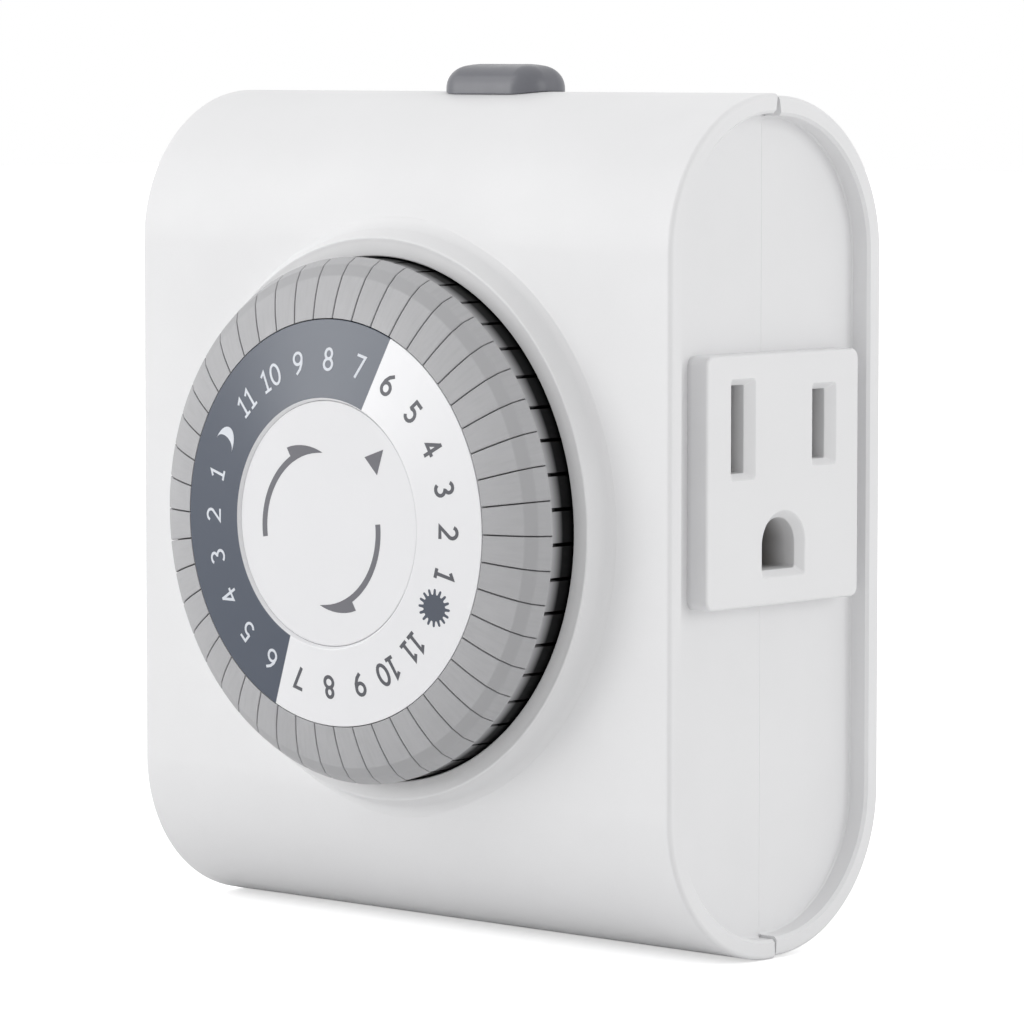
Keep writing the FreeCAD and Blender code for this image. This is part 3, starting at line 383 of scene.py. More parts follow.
# %% [markdown]
# Little light comes back out of a narrow hole, and less than a renderer's few bounces show. So
# the outlet's funnels and the carrier's rim darken with depth, by masks on Object coordinates.

# %% Plastics and metals
white_shell = plastic("white shell", (234, 234, 235), (230, 230, 231))
outlet_white = plastic("outlet white", (234, 234, 235), (230, 230, 231), rough=(0.36, 0.44))
tree = outlet_white.node_tree
inward = reckon(tree, "ABSOLUTE", own_axes(tree)["X"])
recolour(outlet_white, spread(tree, inward, 1.0, 0.0, 0.0322, 0.0362), (104, 104, 105))
carrier_grey = plastic("carrier grey", (186, 186, 188), (179, 179, 181), grain=0.12, patch=6.0)
tree = carrier_grey.node_tree
recolour(carrier_grey, spread(tree, own_axes(tree)["Y"], 0.0, 1.0, -0.0387, -0.0369), (7, 7, 8))
tree.nodes["Principled BSDF"].inputs["Specular IOR Level"].default_value = 0.12
knob_grey = plastic("knob grey", (109, 110, 116), (103, 104, 110), rough=(0.3, 0.38), grain=0.11, patch=4.0)
inner_white = plastic("inner white", (226, 224, 216), (218, 216, 208), grain=0.2)
lead_cover = plastic("lead cover", (46, 46, 48), (38, 38, 40), grain=0.1, patch=3.0)
brass = metal("stamped brass", (214, 184, 112), (186, 150, 84))
steel = metal("zinc plated steel", (206, 207, 210), (178, 180, 186), rough=(0.28, 0.42))
motor_steel = metal("drawn steel", (196, 197, 200), (168, 170, 175), rough=(0.3, 0.45))
print("materials:", len(bpy.data.materials))

# %% [markdown]
# ## The housing
# The real housing is a rounded bar that runs straight from side to side, parted in the middle of
# its depth. It could be modelled as a bevelled cube, but the corners are almost a half circle,
# so rings of one outline are skinned along X instead. The end rings draw in to round the edge.

# %% Sizes of the housing and its outline
half_width, half_tall, front_y, corner = 37.8, 44.0, -33.0, 16.0
parting_y, rear_drop, wall_inset, rim = -16.5, 0.25, 2.0, 2.0
recess_x, cavity_x = 35.55, 33.75
screw_x, screw_z = 28, 33
screw_spots = [(x, z) for x in (-screw_x, screw_x) for z in (-screw_z, screw_z)]
plug_z, pin_z, blade_x = 6, -5.9, 6.35
play = 0.15


def bar_ring(x, inset, tall=half_tall, steps=28):
    """The rounded outline at one place along the bar, drawn in by an inset."""
    r = corner - inset
    y_near, y_far, z_mid = front_y + inset + r, -inset - r, tall - inset - r
    ring = []
    corners = ((y_near, z_mid, 180), (y_far, z_mid, 90), (y_far, -z_mid, 0), (y_near, -z_mid, -90))
    for y, z, start in corners:
        for s in range(steps + 1):
            t = math.radians(start - 90 * s / steps)
            ring.append((x, y + r * math.cos(t), z + r * math.sin(t)))
    return ring


def bar(name, low_x, high_x, inset, tall=half_tall, edge=0.0):
    """A length of the rounded bar, with its end edges rounded."""
    turns = [math.radians(a) for a in ((0, 18, 36, 54, 72, 90) if edge else (0,))]
    drawn_in = [(edge * (1 - math.cos(t)), inset + edge * (1 - math.sin(t))) for t in turns]
    rings = [bar_ring(low_x + along, inward, tall) for along, inward in drawn_in]
    rings += [bar_ring(high_x - along, inward, tall) for along, inward in reversed(drawn_in)]
    return loft(name, rings)


# %% [markdown]
# Each side of the bar is hollowed to a rim 2 mm wide, and the outlet plate sits in that recess.
# The cutter for it flares in its last 0.3 mm, so the rim's inner edge comes out rounded with no
# bevel to tidy. The two shells meet in a V notch in the rim, wider above than below.

# %% Shapes that both shells are cut with
plate_y, plate_z = -15.95, 5.1
skirt_half_y, skirt_half_z = 10.8, 11.675


def recess_cutter(side, tall, flare=0.3):
    """The recess in one side, with a flared mouth."""
    near, mouth = side * recess_x, side * half_width
    rings = [bar_ring(near, rim + 0.15, tall), bar_ring(near + side * 0.15, rim, tall)]
    for s in range(5):
        in_by = flare * math.cos(math.radians(90 * s / 4))
        rings.append(bar_ring(mouth - side * in_by, rim - flare + in_by, tall))
    rings.append(bar_ring(mouth + side, rim - flare, tall))
    return loft("recess", rings)


def prism(name, corners, x0, x1):
    """A (y, z) polygon pushed along X."""
    return loft(name, [[(x, y, z) for y, z in corners] for x in (x0, x1)])


def drill(name, radius, x, z, y0, y1, steps=48, flare=0.0):
    """A round cutter along Y; a flare rounds the hole's mouth at y1."""
    profile = [(0, y0), (radius, y0), (radius, y1), (0, y1)]
    if flare:
        wide = radius + flare
        profile = soften([(0, y0), (radius, y0), (radius, y1 - flare), (wide, y1), (wide, y1 + 1),
                          (0, y1 + 1)], [0, 0, flare, 0, 0, 0])
    tool = spin(name, profile, steps)
    tool.data.transform(Matrix.Translation((x, 0, z)))
    return tool


def common_cuts(shell, tall):
    """Recesses, notches, outlet windows and the knob's slot, which both shells share."""
    carve(shell, bar("cavity", -cavity_x, cavity_x, wall_inset, tall))
    for side in (-1, 1):
        carve(shell, recess_cutter(side, tall))
        bevel_shade_out = sorted((side * (recess_x - 0.02), side * (half_width + 1)))
        for up, wide in ((-1, 0.16), (1, 0.45)):
            low, high = up * (tall - rim - 0.05), up * (tall + 0.3)
            notch = [(parting_y - wide, low), (parting_y + wide, low), (parting_y + 0.06, high),
                     (parting_y - 0.06, high)]
            carve(shell, prism("notch", notch, *bevel_shade_out))
        outer_x = side * (recess_x + 0.06)
        seam = [(side * (recess_x - 0.04), parting_y), (outer_x, parting_y - 0.15),
                (outer_x, parting_y + 0.15)]
        carve(shell, loft("seam", [[(x, y, z) for x, y in seam] for z in (-41, 41)]))
    half_y, half_z = skirt_half_y + play, skirt_half_z + play
    carve(shell, box("window", -half_width - 1, half_width + 1, plate_y - half_y, plate_y + half_y,
                     plate_z - half_z, plate_z + half_z))
    carve(shell, box("knob slot", -5.65, 1.65, parting_y - 1.2, parting_y + 1.2, 40, 46))
    return shell


# %% [markdown]
# The front shell carries the dial well. Its lip stands 2.65 mm proud and slopes down to the
# front face in a bezel. A profile turned about the dial's axis gives that whole form at once,
# with every corner softened where the mould would be, and it is joined to the shell.

# %% Front shell
floor_y, floor_back_y, through = -27.5, -26.0, (-28.5, -25.0)
lip_y, lip_r, edge_r, boss_r = front_y - 2.65, 27.15, 0.35, 3.4
foot_r, cup_r, foot_back_y = 31.2, 29.2, front_y + 1.9
front = bar("front_shell", -half_width, half_width, 0.0, edge=0.5)
carve(front, box("rear half", -40, 40, parting_y, 5, -46, 46))
common_cuts(front, half_tall)
for up in (-1, 1):
    turns = [math.radians(90 * s / 5) for s in range(6)]
    rounding = [(parting_y - edge_r + edge_r * math.sin(t),
                 up * (half_tall - edge_r + edge_r * math.cos(t))) for t in turns]
    rounding += [(parting_y + 0.3, up * (half_tall - edge_r)), (parting_y + 0.3, up * (half_tall + 0.3)),
                 (parting_y - edge_r, up * (half_tall + 0.3))]
    carve(front, prism("parting edge", rounding, -40, 40))
carve(front, drill("well", 28.45, 0, 0, -34, floor_back_y, 192))
bezel = soften(
    [(0, floor_y), (lip_r, floor_y), (lip_r, lip_y + 0.1), (28.7, lip_y + 0.08), (29.15, lip_y),
     (30.05, front_y - 0.5), (30.6, front_y - 0.05), (foot_r, front_y + 0.25), (foot_r, foot_back_y),
     (cup_r, foot_back_y), (cup_r, floor_back_y), (0, floor_back_y)],
    [0, 0.4, 0.22, 0.25, 0.2, 0.35, 0.25, 0, 0, 0, 0, 0], 5)
carve(front, spin("bezel", bezel, 192), "UNION")
bosses = drill("boss", boss_r, screw_x, screw_z, front_y, parting_y)
for x, z in ((-screw_x, screw_z), (-screw_x, -screw_z), (screw_x, -screw_z)):
    carve(bosses, drill("boss", boss_r, x, z, front_y, parting_y), "UNION")
carve(bosses, bar("inside", -36, 36, 1.0), "INTERSECT")
carve(front, bosses, "UNION")
for x, z in screw_spots:
    carve(front, drill("screw hole", 1.42, x, z, -26.5, -15.5, 32))
carve(front, drill("post hole", 3.35, 0, 0, *through, 64))
carve(front, drill("pinion room", 4.5, 0, -14.4, *through, 64))
carve(front, box("finger window", 0.47, 2.67, *through, 22.9, 26.1))
finish(front)
dress(front, white_shell, "housing_white", "housing", "front_cover")
print("front shell box:", [round(v * 1000, 2) for v in front.dimensions])

# %% [markdown]
# The rear shell is a quarter millimetre lower at the parting line, which shows as the small
# step in the photograph. Its flat back carries the plug and four screw wells. The wells' mouths
# are flared by their cutter, in the same way as the recess.

# %% Rear shell
rear_tall = half_tall - rear_drop
rear = bar("rear_shell", -half_width, half_width, 0.0, rear_tall, edge=0.5)
carve(rear, box("front half", -40, 40, -40, parting_y, -46, 46))
common_cuts(rear, rear_tall)
inner = box("pad", -9.85, 9.85, -5.0, -0.5, -11.78, 13.45)
for x, z in screw_spots:
    carve(inner, drill("post", 4.2, x, z, parting_y, -0.5), "UNION")
carve(inner, bar("inside", -36, 36, 1.0, rear_tall), "INTERSECT")
carve(rear, inner, "UNION")
for x, z in screw_spots:
    carve(rear, drill("screw way", 1.65, x, z, -18, -9, 32))
    carve(rear, drill("screw well", 2.85, x, z, -10, 0, 48, 0.3))
for x, blade_tall in ((-blade_x, 7.9), (blade_x, 6.35)):
    half = blade_tall / 2 + play
    carve(rear, box("blade slot", x - 0.9, x + 0.9, -6, 1, plug_z - half, plug_z + half))
carve(rear, drill("pin hole", 2.05, 0, pin_z, -6, 1))
carve(rear, drill("pin seat", 2.68, 0, pin_z, -0.8, 1))
finish(rear)
dress(rear, white_shell, "housing_white", "housing", "rear_cover")
print("rear shell box:", [round(v * 1000, 2) for v in rear.dimensions])

# %% [markdown]
# ## The outlet faces
# Each recess holds a plate with two blade slots and an arched ground hole, all with funnelled
# mouths that guide a plug. A funnel is a cutter that follows the slot's outline and widens
# towards the face, so one list of depths serves the slots and the arch. Behind the arch a short
# channel leads to the ground contact, which is why the hole looks deep and dark.

# %% Outlet plates
face_x, funnel_x, skirt_x, channel_x = 38.2, 37.4, 30.55, 31.75
blade_gap, blade_z, ground_z, plate_edge = 12.7, 10.35, -1.55, 0.32


def block_ring(x, y, z, half_y, half_z, r, steps=6):
    """A rounded rectangle in a plane of constant x."""
    ring = []
    for sy, sz, start in ((1, 1, 0), (-1, 1, 90), (-1, -1, 180), (1, -1, 270)):
        for s in range(steps + 1):
            t = math.radians(start + 90 * s / steps)
            ring.append((x, y + sy * (half_y - r) + r * math.cos(t),
                         z + sz * (half_z - r) + r * math.sin(t)))
    return ring


def arch_ring(x, radius, drop, grow=0.0, steps=28):
    """The ground hole's outline: round above, flat below, with small lower corners."""
    r, low, c = radius + grow, ground_z - drop - grow, 0.35
    turns = [math.pi * s / steps for s in range(steps + 1)]
    ring = [(x, plate_y + r * math.cos(t), ground_z + r * math.sin(t)) for t in turns]
    for side, start in ((-1, 180), (1, 270)):
        for s in range(5):
            t = math.radians(start + 90 * s / 4)
            ring.append((x, plate_y + side * (r - c) + c * math.cos(t), low + c + c * math.sin(t)))
    return ring


def funnel_depths(widen):
    """(x, growth) from behind the plate to in front of it, with a rounded lip."""
    near = [(skirt_x - 1, 0.0), (funnel_x - 0.12, 0.0), (funnel_x, 0.06 * widen),
            (face_x - 0.14, widen * 0.84)]
    return near + [(face_x - 0.06, widen * 0.95), (face_x, widen + 0.06), (face_x + 0.6, widen + 0.3)]


def outlet_plate(name):
    """One outlet plate on the right side."""
    half_y, half_z = 11.9, 12.775
    rings = [block_ring(recess_x, plate_y, plate_z, half_y, half_z, 1.0)]
    for s in range(6):
        t = math.radians(90 * s / 5)
        inset, x = plate_edge * (1 - math.cos(t)), face_x - plate_edge + plate_edge * math.sin(t)
        rings.append(block_ring(x, plate_y, plate_z, half_y - inset, half_z - inset, 1.0 - inset))
    plate = loft(name, rings)
    skirt = loft("skirt", [block_ring(x, plate_y, plate_z, skirt_half_y, skirt_half_z, 0.6)
                           for x in (skirt_x, recess_x + 0.2)])
    room = [block_ring(x, plate_y, plate_z, skirt_half_y - 1.2, skirt_half_z - 1.2, 0.4)
            for x in (skirt_x - 1, recess_x)]
    carve(plate, carve(skirt, loft("room", room)), "UNION")
    channel = loft("channel", [arch_ring(x, 3.4, 3.3) for x in (channel_x, recess_x + 0.2)])
    carve(plate, channel, "UNION")
    for y, half in ((plate_y - blade_gap / 2, 4.45), (plate_y + blade_gap / 2, 3.55)):
        rings = [block_ring(x, y, blade_z, 1.0 + 0.9 * g, half + 0.65 * g, 0.18 + 0.12 * g)
                 for x, g in funnel_depths(1.0)]
        carve(plate, loft("slot", rings))
    carve(plate, loft("arch", [arch_ring(x, 2.65, 2.6, g) for x, g in funnel_depths(0.75)]))
    return plate


right_plate = outlet_plate("right_outlet_plate")
left_plate = outlet_plate("left_outlet_plate")
to_axis = Matrix.Translation((0, -plate_y, 0))
left_plate.data.transform(to_axis.inverted() @ Matrix.Rotation(math.pi, 4, "Z") @ to_axis)
dress(finish(right_plate, 28), outlet_white, "housing_white", "housing", "right_outlet_face")
dress(finish(left_plate, 28), outlet_white, "housing_white", "housing", "left_outlet_face")

# %% [markdown]
# ## The number ring
# The ring is a shallow cone, white by day and printed slate grey by night. The print is a colour
# mask, not a second mesh: the line between the halves passes through the dial's axis, so the
# distance from that line on Object coordinates says which half a point is in. The mask's edge is
# a few hundredths of a millimetre wide, as screen print is.

# %% Number ring and its two-tone print
ring_inner, ring_outer, ring_inner_y, ring_outer_y, ring_lip = 12.9, 20.92, -43.3, -42.3, 12.63
print_turn = math.radians(23.4)
ring_print = plastic(
    "ring print", (236, 236, 238), (234, 234, 236), rough=(0.25, 0.27), grain=0.08, depth=0.004)
tree = ring_print.node_tree
axes = own_axes(tree)
across = reckon(tree, "ADD", reckon(tree, "MULTIPLY", axes["X"], -math.cos(print_turn)),
                reckon(tree, "MULTIPLY", axes["Z"], math.sin(print_turn)))
night = spread(tree, across, 0.0, 1.0, -0.00003, 0.00003)
on_face = spread(tree, reach_of(tree, axes), 0.0, 1.0, 0.01288, 0.01294)
slate = blend(tree, tree.nodes["Group"].outputs["Patches"], (76, 83, 97), (72, 80, 94))
recolour(ring_print, reckon(tree, "MULTIPLY", night, on_face), slate)

ring_profile = soften([(ring_inner, ring_inner_y), (ring_outer, ring_outer_y), (ring_outer, -41.5),
                       (ring_inner, -42.4), (ring_lip, -42.5), (ring_lip, -42.9)],
                      [0.08, 0.07, 0, 0, 0, 0.06])
number_ring = finish(spin("hour_ring", ring_profile, 256))
dress(number_ring, ring_print, "ring_print", "dial", "number_ring")

# %% [markdown]
# ## The printed marks
# The figures could be an image, but real geometry stays crisp at any size. Each figure is drawn
# with one or two strokes, as a sign writer would: a stroke is a path that a pen of fixed width
# follows. The strokes are joined, laid on the cone at the ring's radius with their tops
# outwards, and stand 0.02 mm proud, as screen print does.

# %% Strokes and figures
ink_rise, ink_root = 0.02, 0.05


def on_cone(r):
    """The ring's front surface at a radius."""
    return ring_inner_y + (r - ring_inner) * (ring_outer_y - ring_inner_y) / (ring_outer - ring_inner)


def sweep(x, z, rx, rz, start, end, steps=12):
    """Points on part of an ellipse, in degrees from the x axis."""
    turns = [math.radians(start + (end - start) * s / steps) for s in range(steps + 1)]
    return [(x + rx * math.cos(t), z + rz * math.sin(t)) for t in turns]


def stroke(path, width, closed=False):
    """A closed slip of ink along a path, 1 mm thick before it is laid on a surface."""
    count, points, faces = len(path), [], []
    for i, (x, z) in enumerate(path):
        before = Vector(path[i - 1]) if closed or i else Vector(path[i]) * 2 - Vector(path[i + 1])
        after = Vector(path[(i + 1) % count]) if closed or i < count - 1 else Vector(path[i]) * 2 - before
        first, second = (Vector((x, z)) - before).normalized(), (after - Vector((x, z))).normalized()
        across = Vector((-first.y - second.y, first.x + second.x)).normalized()
        reach = width / 2 / max(across.dot(Vector((-first.y, first.x))), 0.5)
        for side in (-1, 1):
            points += [(x + side * reach * across.x, z + side * reach * across.y, w) for w in (-0.5, 0.5)]
    for i in range(count if closed else count - 1):
        a, b = 4 * i, 4 * ((i + 1) % count)
        faces += [(a + u, b + u, b + v, a + v) for u, v in ((0, 1), (1, 3), (3, 2), (2, 0))]
    if not closed:
        faces += [(0, 1, 3, 2), (4 * count - 4, 4 * count - 2, 4 * count - 1, 4 * count - 3)]
    return piece("stroke", points, faces)


whole_turn = (0, 345, 23)
bowl = sweep(0, -0.46, 0.58, 0.6, *whole_turn)
tail = [(-0.57, -0.4), (-0.48, 0.16), (-0.16, 0.7), (0.36, 1.12)]
# (path, closed) for each stroke of a figure 2.5 mm tall about the origin
strokes_of = {
    "0": [(sweep(0, 0, 0.62, 1.06, *whole_turn), True)],
    "1": [([(-0.47, 0.66), (0.06, 1.06), (0.06, -1.1)], False), ([(-0.46, -1.07), (0.56, -1.07)], False)],
    "2": [(sweep(-0.02, 0.46, 0.56, 0.6, 160, -32) + [(-0.58, -1.06), (0.66, -1.06)], False)],
    "3": [(sweep(-0.06, 0.57, 0.52, 0.49, 150, -65) + sweep(-0.06, -0.5, 0.6, 0.57, 72, -150), False)],
    "4": [([(0.24, 1.08), (-0.62, -0.44), (0.74, -0.44)], False), ([(0.24, 1.2), (0.24, -1.25)], False)],
    "5": [([(0.52, 1.06), (-0.42, 1.06), (-0.47, 0.2)] + sweep(-0.06, -0.42, 0.6, 0.65, 118, -145), False)],
    "6": [(bowl, True), (tail, False)],
    "7": [([(-0.6, 1.06), (0.56, 1.06), (-0.2, -1.25)], False)],
    "8": [(sweep(0, 0.55, 0.46, 0.51, *whole_turn), True), (sweep(0, -0.5, 0.58, 0.56, *whole_turn), True)],
    "9": [([(-x, -z) for x, z in bowl], True), ([(-x, -z) for x, z in tail], False)]}


def figure_mesh(word, width):
    """A number as one joined mesh of ink."""
    spread_out = 1.62 if word[-1] == "0" else 1.4
    whole = None
    for i, figure in enumerate(word):
        shift = (i - (len(word) - 1) / 2) * spread_out
        for path, closed in strokes_of[figure]:
            part = stroke([(x + shift, z) for x, z in path], width, closed)
            whole = carve(whole, part, "UNION") if whole else part
    mesh = whole.data
    bpy.data.objects.remove(whole)
    return mesh


def inked(name, shapes, surface):
    """Closed slips of ink from flat (x, z) outlines on a surface given by y(r)."""
    points, faces = [], []
    for outline in shapes:
        start, count = len(points), len(outline)
        for lift in (-ink_rise, ink_root):
            points += [(x, surface(math.hypot(x, z)) + lift, z) for x, z in outline]
        faces += [tuple(range(start, start + count)),
                  tuple(range(start + 2 * count - 1, start + count - 1, -1))]
        faces += [(start + i, start + (i + 1) % count, start + count + (i + 1) % count, start + count + i)
                  for i in range(count)]
    return piece(name, points, faces)


def join(name, meshes):
    """One object from several meshes."""
    whole = bmesh.new()
    for mesh in meshes:
        whole.from_mesh(mesh)
    bmesh.ops.recalc_face_normals(whole, faces=whole.faces)
    mesh = bpy.data.meshes.new(name)
    whole.to_mesh(mesh)
    whole.free()
    return placed(name, mesh)


# %% Hour figures
figure_radius, hour_step, hour_at_top = 16.85, 15.0, 20
figures = {"pale": [], "dark": []}
for hour in range(24):
    word = str(hour % 12)
    if word == "0":
        continue
    turn = math.radians((hour_at_top - hour) * hour_step)
    sin, cos = math.sin(turn), math.cos(turn)
    shade = "pale" if math.sin(print_turn) * cos > math.cos(print_turn) * sin else "dark"
    slip = figure_mesh(word, 0.29 if shade == "pale" else 0.38)
    for v in slip.vertices:
        u, r, w = v.co.x, figure_radius + v.co.y, v.co.z
        x, z = r * sin + u * cos, r * cos - u * sin
        v.co = (x, on_cone(math.hypot(x, z)) + (-ink_rise if w > 0 else ink_root), z)
    figures[shade].append(slip)

ink_pale = ink("pale ink", (216, 220, 227), (211, 215, 223))
ink_dark = ink("dark ink", (88, 89, 95), (83, 84, 90))
for shade, colour in (("pale", ink_pale), ("dark", ink_dark)):
    dress(in_metres(join("figures_" + shade, figures[shade])), colour, "ring_print", "dial")

# %% [markdown]
# The sun and the moon stand where noon and midnight would be. The moon is the space between two
# arcs that meet at its horns. The sun is one outline that runs round sixteen short rays.

# %% Sun and moon
moon_turn, sun_turn = math.radians(-61.0), math.radians(117.4)
moon_r, sun_r, horn, moon_mid = 16.95, 16.75, 1.42, -0.95


def local(turn, radius, u, v):
    """A point u across and v outwards from a place on the ring."""
    sin, cos = math.sin(turn), math.cos(turn)
    return ((radius + v) * sin + u * cos, (radius + v) * cos - u * sin)


half_turn = [math.radians(-90 + 180 * s / 24) for s in range(25)]
outer, inner = ([local(moon_turn, moon_r, moon_mid + deep * math.cos(t), horn * math.sin(t))
                 for t in half_turn] for deep in (2.0, 0.92))
moon = inked("moon", [outer + inner[-2:0:-1]], on_cone)
dress(in_metres(moon), ink_pale, "ring_print", "dial")
one_side = [(1.36, 0.14), (1.5, 0.1), (1.86, 0.07), (1.96, 0.03)]
one_ray = [(r, -d) for r, d in one_side] + one_side[::-1]
sun_line = []
for ray in range(16):
    for r, d in one_ray:
        t = math.tau * ray / 16 + d
        sun_line.append(local(sun_turn, sun_r, r * math.cos(t), r * math.sin(t)))
sun = inked("sun", [sun_line], on_cone)
dress(in_metres(sun), ink("slate ink", (78, 84, 97), (74, 80, 92)), "ring_print", "dial")

# %% [markdown]
# ## The centre disc
# The disc in the middle doesn't turn. It shows which way the dial goes with two half-barbed
# arrows on one circle, and a small triangle that points to the hour. The printed words on the
# real disc name nothing that the timer needs, so their place stays bare.

# %% Disc, arrows and pointer
disc_white = plastic("disc white", (229, 229, 231), (227, 227, 229), rough=(0.34, 0.42), grain=0.1)
disc_y, disc_back_y, stud_y, disc_r, stud_r = -43.0, -41.8, -37.85, 12.6, 1.5
disc_profile = soften([(0, disc_y), (disc_r, disc_y), (disc_r, disc_back_y), (stud_r, disc_back_y),
                       (stud_r, stud_y), (0, stud_y)], [0, 0.14, 0, 0, 0, 0])
disc = finish(spin("still_disc", disc_profile, 192))
dress(disc, disc_white, "disc_white", "housing", "centre_disc")
arrow_x, arrow_z, arrow_r, half_line = -0.95, -0.6, 8.15, 0.34
barb_r, barb_turn = arrow_r + 1.35, 33


def arrow(start, tip):
    """An arc from one bearing to another that ends in a barb on its outer side."""
    neck = tip - barb_turn
    bearings = [start + (neck - start) * s / 24 for s in range(25)]
    path = [(arrow_r + half_line, a) for a in bearings] + [(barb_r, neck)]
    path += [(barb_r - 1.65 * (s / 8) ** 1.15, neck + barb_turn * s / 8) for s in range(1, 9)]
    path += [(arrow_r - half_line, neck + barb_turn * s / 6) for s in (5, 4, 3, 2, 1)]
    path += [(arrow_r - half_line, a) for a in reversed(bearings)]
    return [(arrow_x + r * math.sin(math.radians(a)), arrow_z + r * math.cos(math.radians(a)))
            for r, a in path]


pointer = [local(math.radians(44.9), 0, u, v) for u, v in ((0, 11.25), (1.24, 8.76), (-1.24, 8.76))]
marks = inked("disc_marks", [arrow(83.6, 181.4), arrow(261.5, 361.9), pointer], lambda r: disc_y)
dress(in_metres(marks), ink("grey ink", (102, 102, 109), (97, 97, 104)), "disc_white", "housing")

# %% [markdown]
# ## The trippers
# There are 48 of them, so one head is modelled and Geometry Nodes makes the pairs. The tree
# takes the head, makes two instances, turns the second by one pitch, turns both to the pair's
# place on the dial, and ends in Realize Instances and Set Material, because the export drops
# instances. Each pair rides on its own body, so the tree is evaluated once for each of them.
#
# Ejected mouldings carry fine drag marks towards the rim, and no two are quite the same shade.
# Both come from the angle about the dial's axis: rounded down to whole trippers it picks a shade,
# and as it is, with the radius squeezed, it draws streaks. The sums are in their own node group,
# which leaves only colours to the material.

# %% Angle about the axis as a node group
pitch, slit = 7.5, 0.11
around = new_group("around the axis", [("Cells", 48.0), ("Streak size", 0.35)],
                   ["Shade", "Streaks", "Radius"])
tree, given, made = around
axes = own_axes(tree)
angle = reckon(tree, "ARCTAN2", axes["X"], axes["Z"])
share = reckon(tree, "ADD", reckon(tree, "DIVIDE", angle, math.tau), 0.5)
cell = reckon(tree, "FLOOR", reckon(tree, "MULTIPLY", share, given.outputs["Cells"]))
dice = tree.nodes.new("ShaderNodeTexWhiteNoise")
dice.noise_dimensions = "1D"
tree.links.new(cell, dice.inputs["W"])
tree.links.new(dice.outputs["Value"], made.inputs["Shade"])
radius = reach_of(tree, axes)
tree.links.new(radius, made.inputs["Radius"])
along = tree.nodes.new("ShaderNodeCombineXYZ")
tree.links.new(reckon(tree, "MULTIPLY", angle, 0.024), along.inputs["X"])
tree.links.new(reckon(tree, "MULTIPLY", radius, 0.12), along.inputs["Y"])
tree.links.new(cell, along.inputs["Z"])
noise_output(around, "Streak size", along.outputs[0], "Streaks", 3.0)

# %% Tripper plastic
tripper_grey = plastic(
    "tripper grey", (179, 179, 181), (174, 174, 176), rough=(0.4, 0.48), grain=0.1, patch=5.0)
tree = tripper_grey.node_tree
turned = add_group(tree, around).outputs
recolour(tripper_grey, spread(tree, turned["Shade"], 0.0, 0.55, 0.0, 1.0), (170, 170, 172))
recolour(tripper_grey, spread(tree, turned["Streaks"], 0.0, 0.5, 0.45, 0.75), (165, 165, 167))
# The first bevel is painted a little darker all round: painted shade, standing in for that bevel turning
# away from the light
bevel_shade_in, bevel_shade_out = (spread(tree, turned["Radius"], 0.0, 1.0, r - 0.00009, r + 0.00009)
                for r in (0.02535, 0.02646))
recolour(tripper_grey, reckon(tree, "SUBTRACT", bevel_shade_in, bevel_shade_out), (166, 166, 168))

# %% One tripper head


def tripper_head():
    """A wedge with two bevels on its tip, and the shank behind it."""
    back_y, inner_r, outer_r = -38.6, 21.0, 27.18
    profile = soften([(inner_r, -42.3), (23.3, -41.68), (25.33, -40.8), (26.5, -39.95), (outer_r, -38.85),
                      (outer_r, back_y), (inner_r, back_y)], [0.12, 1.4, 0.12, 0.14, 0, 0, 0], 3)
    # How far from the side a ring of the skin stands, and how far its front sinks there
    side = [(0.0, 0.14), (0.04, 0.04), (0.14, 0.0)]
    rings = []
    for i, (edge, sink) in enumerate(side + [(None, 0.0)] * 5 + side[::-1]):
        ring = []
        for r, y in profile:
            if edge is None:
                a = pitch * (i - 2) / 6
            else:
                low = math.degrees((slit / 2 + edge) / r)
                a = low if i < 4 else pitch - low
            t = math.radians(a)
            r_in, y_in = r - (sink if r > 26.9 else 0), y + (sink if y < -39 else 0)
            ring.append((r_in * math.sin(t), y_in, r_in * math.cos(t)))
        rings.append(ring)
    head = loft("tripper", rings)
    shank = box("shank", -1, 1, back_y - 0.3, -28.2, 21.5, 25.5)
    shank.data.transform(Matrix.Rotation(math.radians(pitch / 2), 4, "Y"))
    return finish(carve(head, shank, "UNION"), 24)


tripper = tripper_head()
print("tripper faces:", len(tripper.data.polygons))

# %% Helpers for Geometry Nodes


def growing_tree(name, inputs):
    """A tree with a geometry, named inputs and a material, and its input node."""
    tree = bpy.data.node_groups.new(name, "GeometryNodeTree")
    for label, kind in [("Geometry", "Geometry")] + inputs + [("Finish", "Material")]:
        tree.interface.new_socket(label, in_out="INPUT", socket_type="NodeSocket" + kind)
    tree.interface.new_socket("Geometry", in_out="OUTPUT", socket_type="NodeSocketGeometry")
    return tree, tree.nodes.new("NodeGroupInput")


def end_tree(tree, given, instances):
    """Realize the instances, give them their material, and put them out."""
    real = tree.nodes.new("GeometryNodeRealizeInstances")
    coat = tree.nodes.new("GeometryNodeSetMaterial")
    tree.links.new(instances, real.inputs["Geometry"])
    tree.links.new(real.outputs["Geometry"], coat.inputs["Geometry"])
    tree.links.new(given.outputs["Finish"], coat.inputs["Material"])
    tree.links.new(coat.outputs["Geometry"], tree.nodes.new("NodeGroupOutput").inputs["Geometry"])


def grown(name, source, tree, values):
    """A plain mesh from a Geometry Nodes tree over a source mesh."""
    thing = placed(name, source.data.copy())
    step = thing.modifiers.new("nodes", "NODES")
    step.node_group = tree
    for socket in tree.interface.items_tree:
        if socket.in_out == "INPUT" and socket.name in values:
            step[socket.identifier] = values[socket.name]
    return settled(thing)


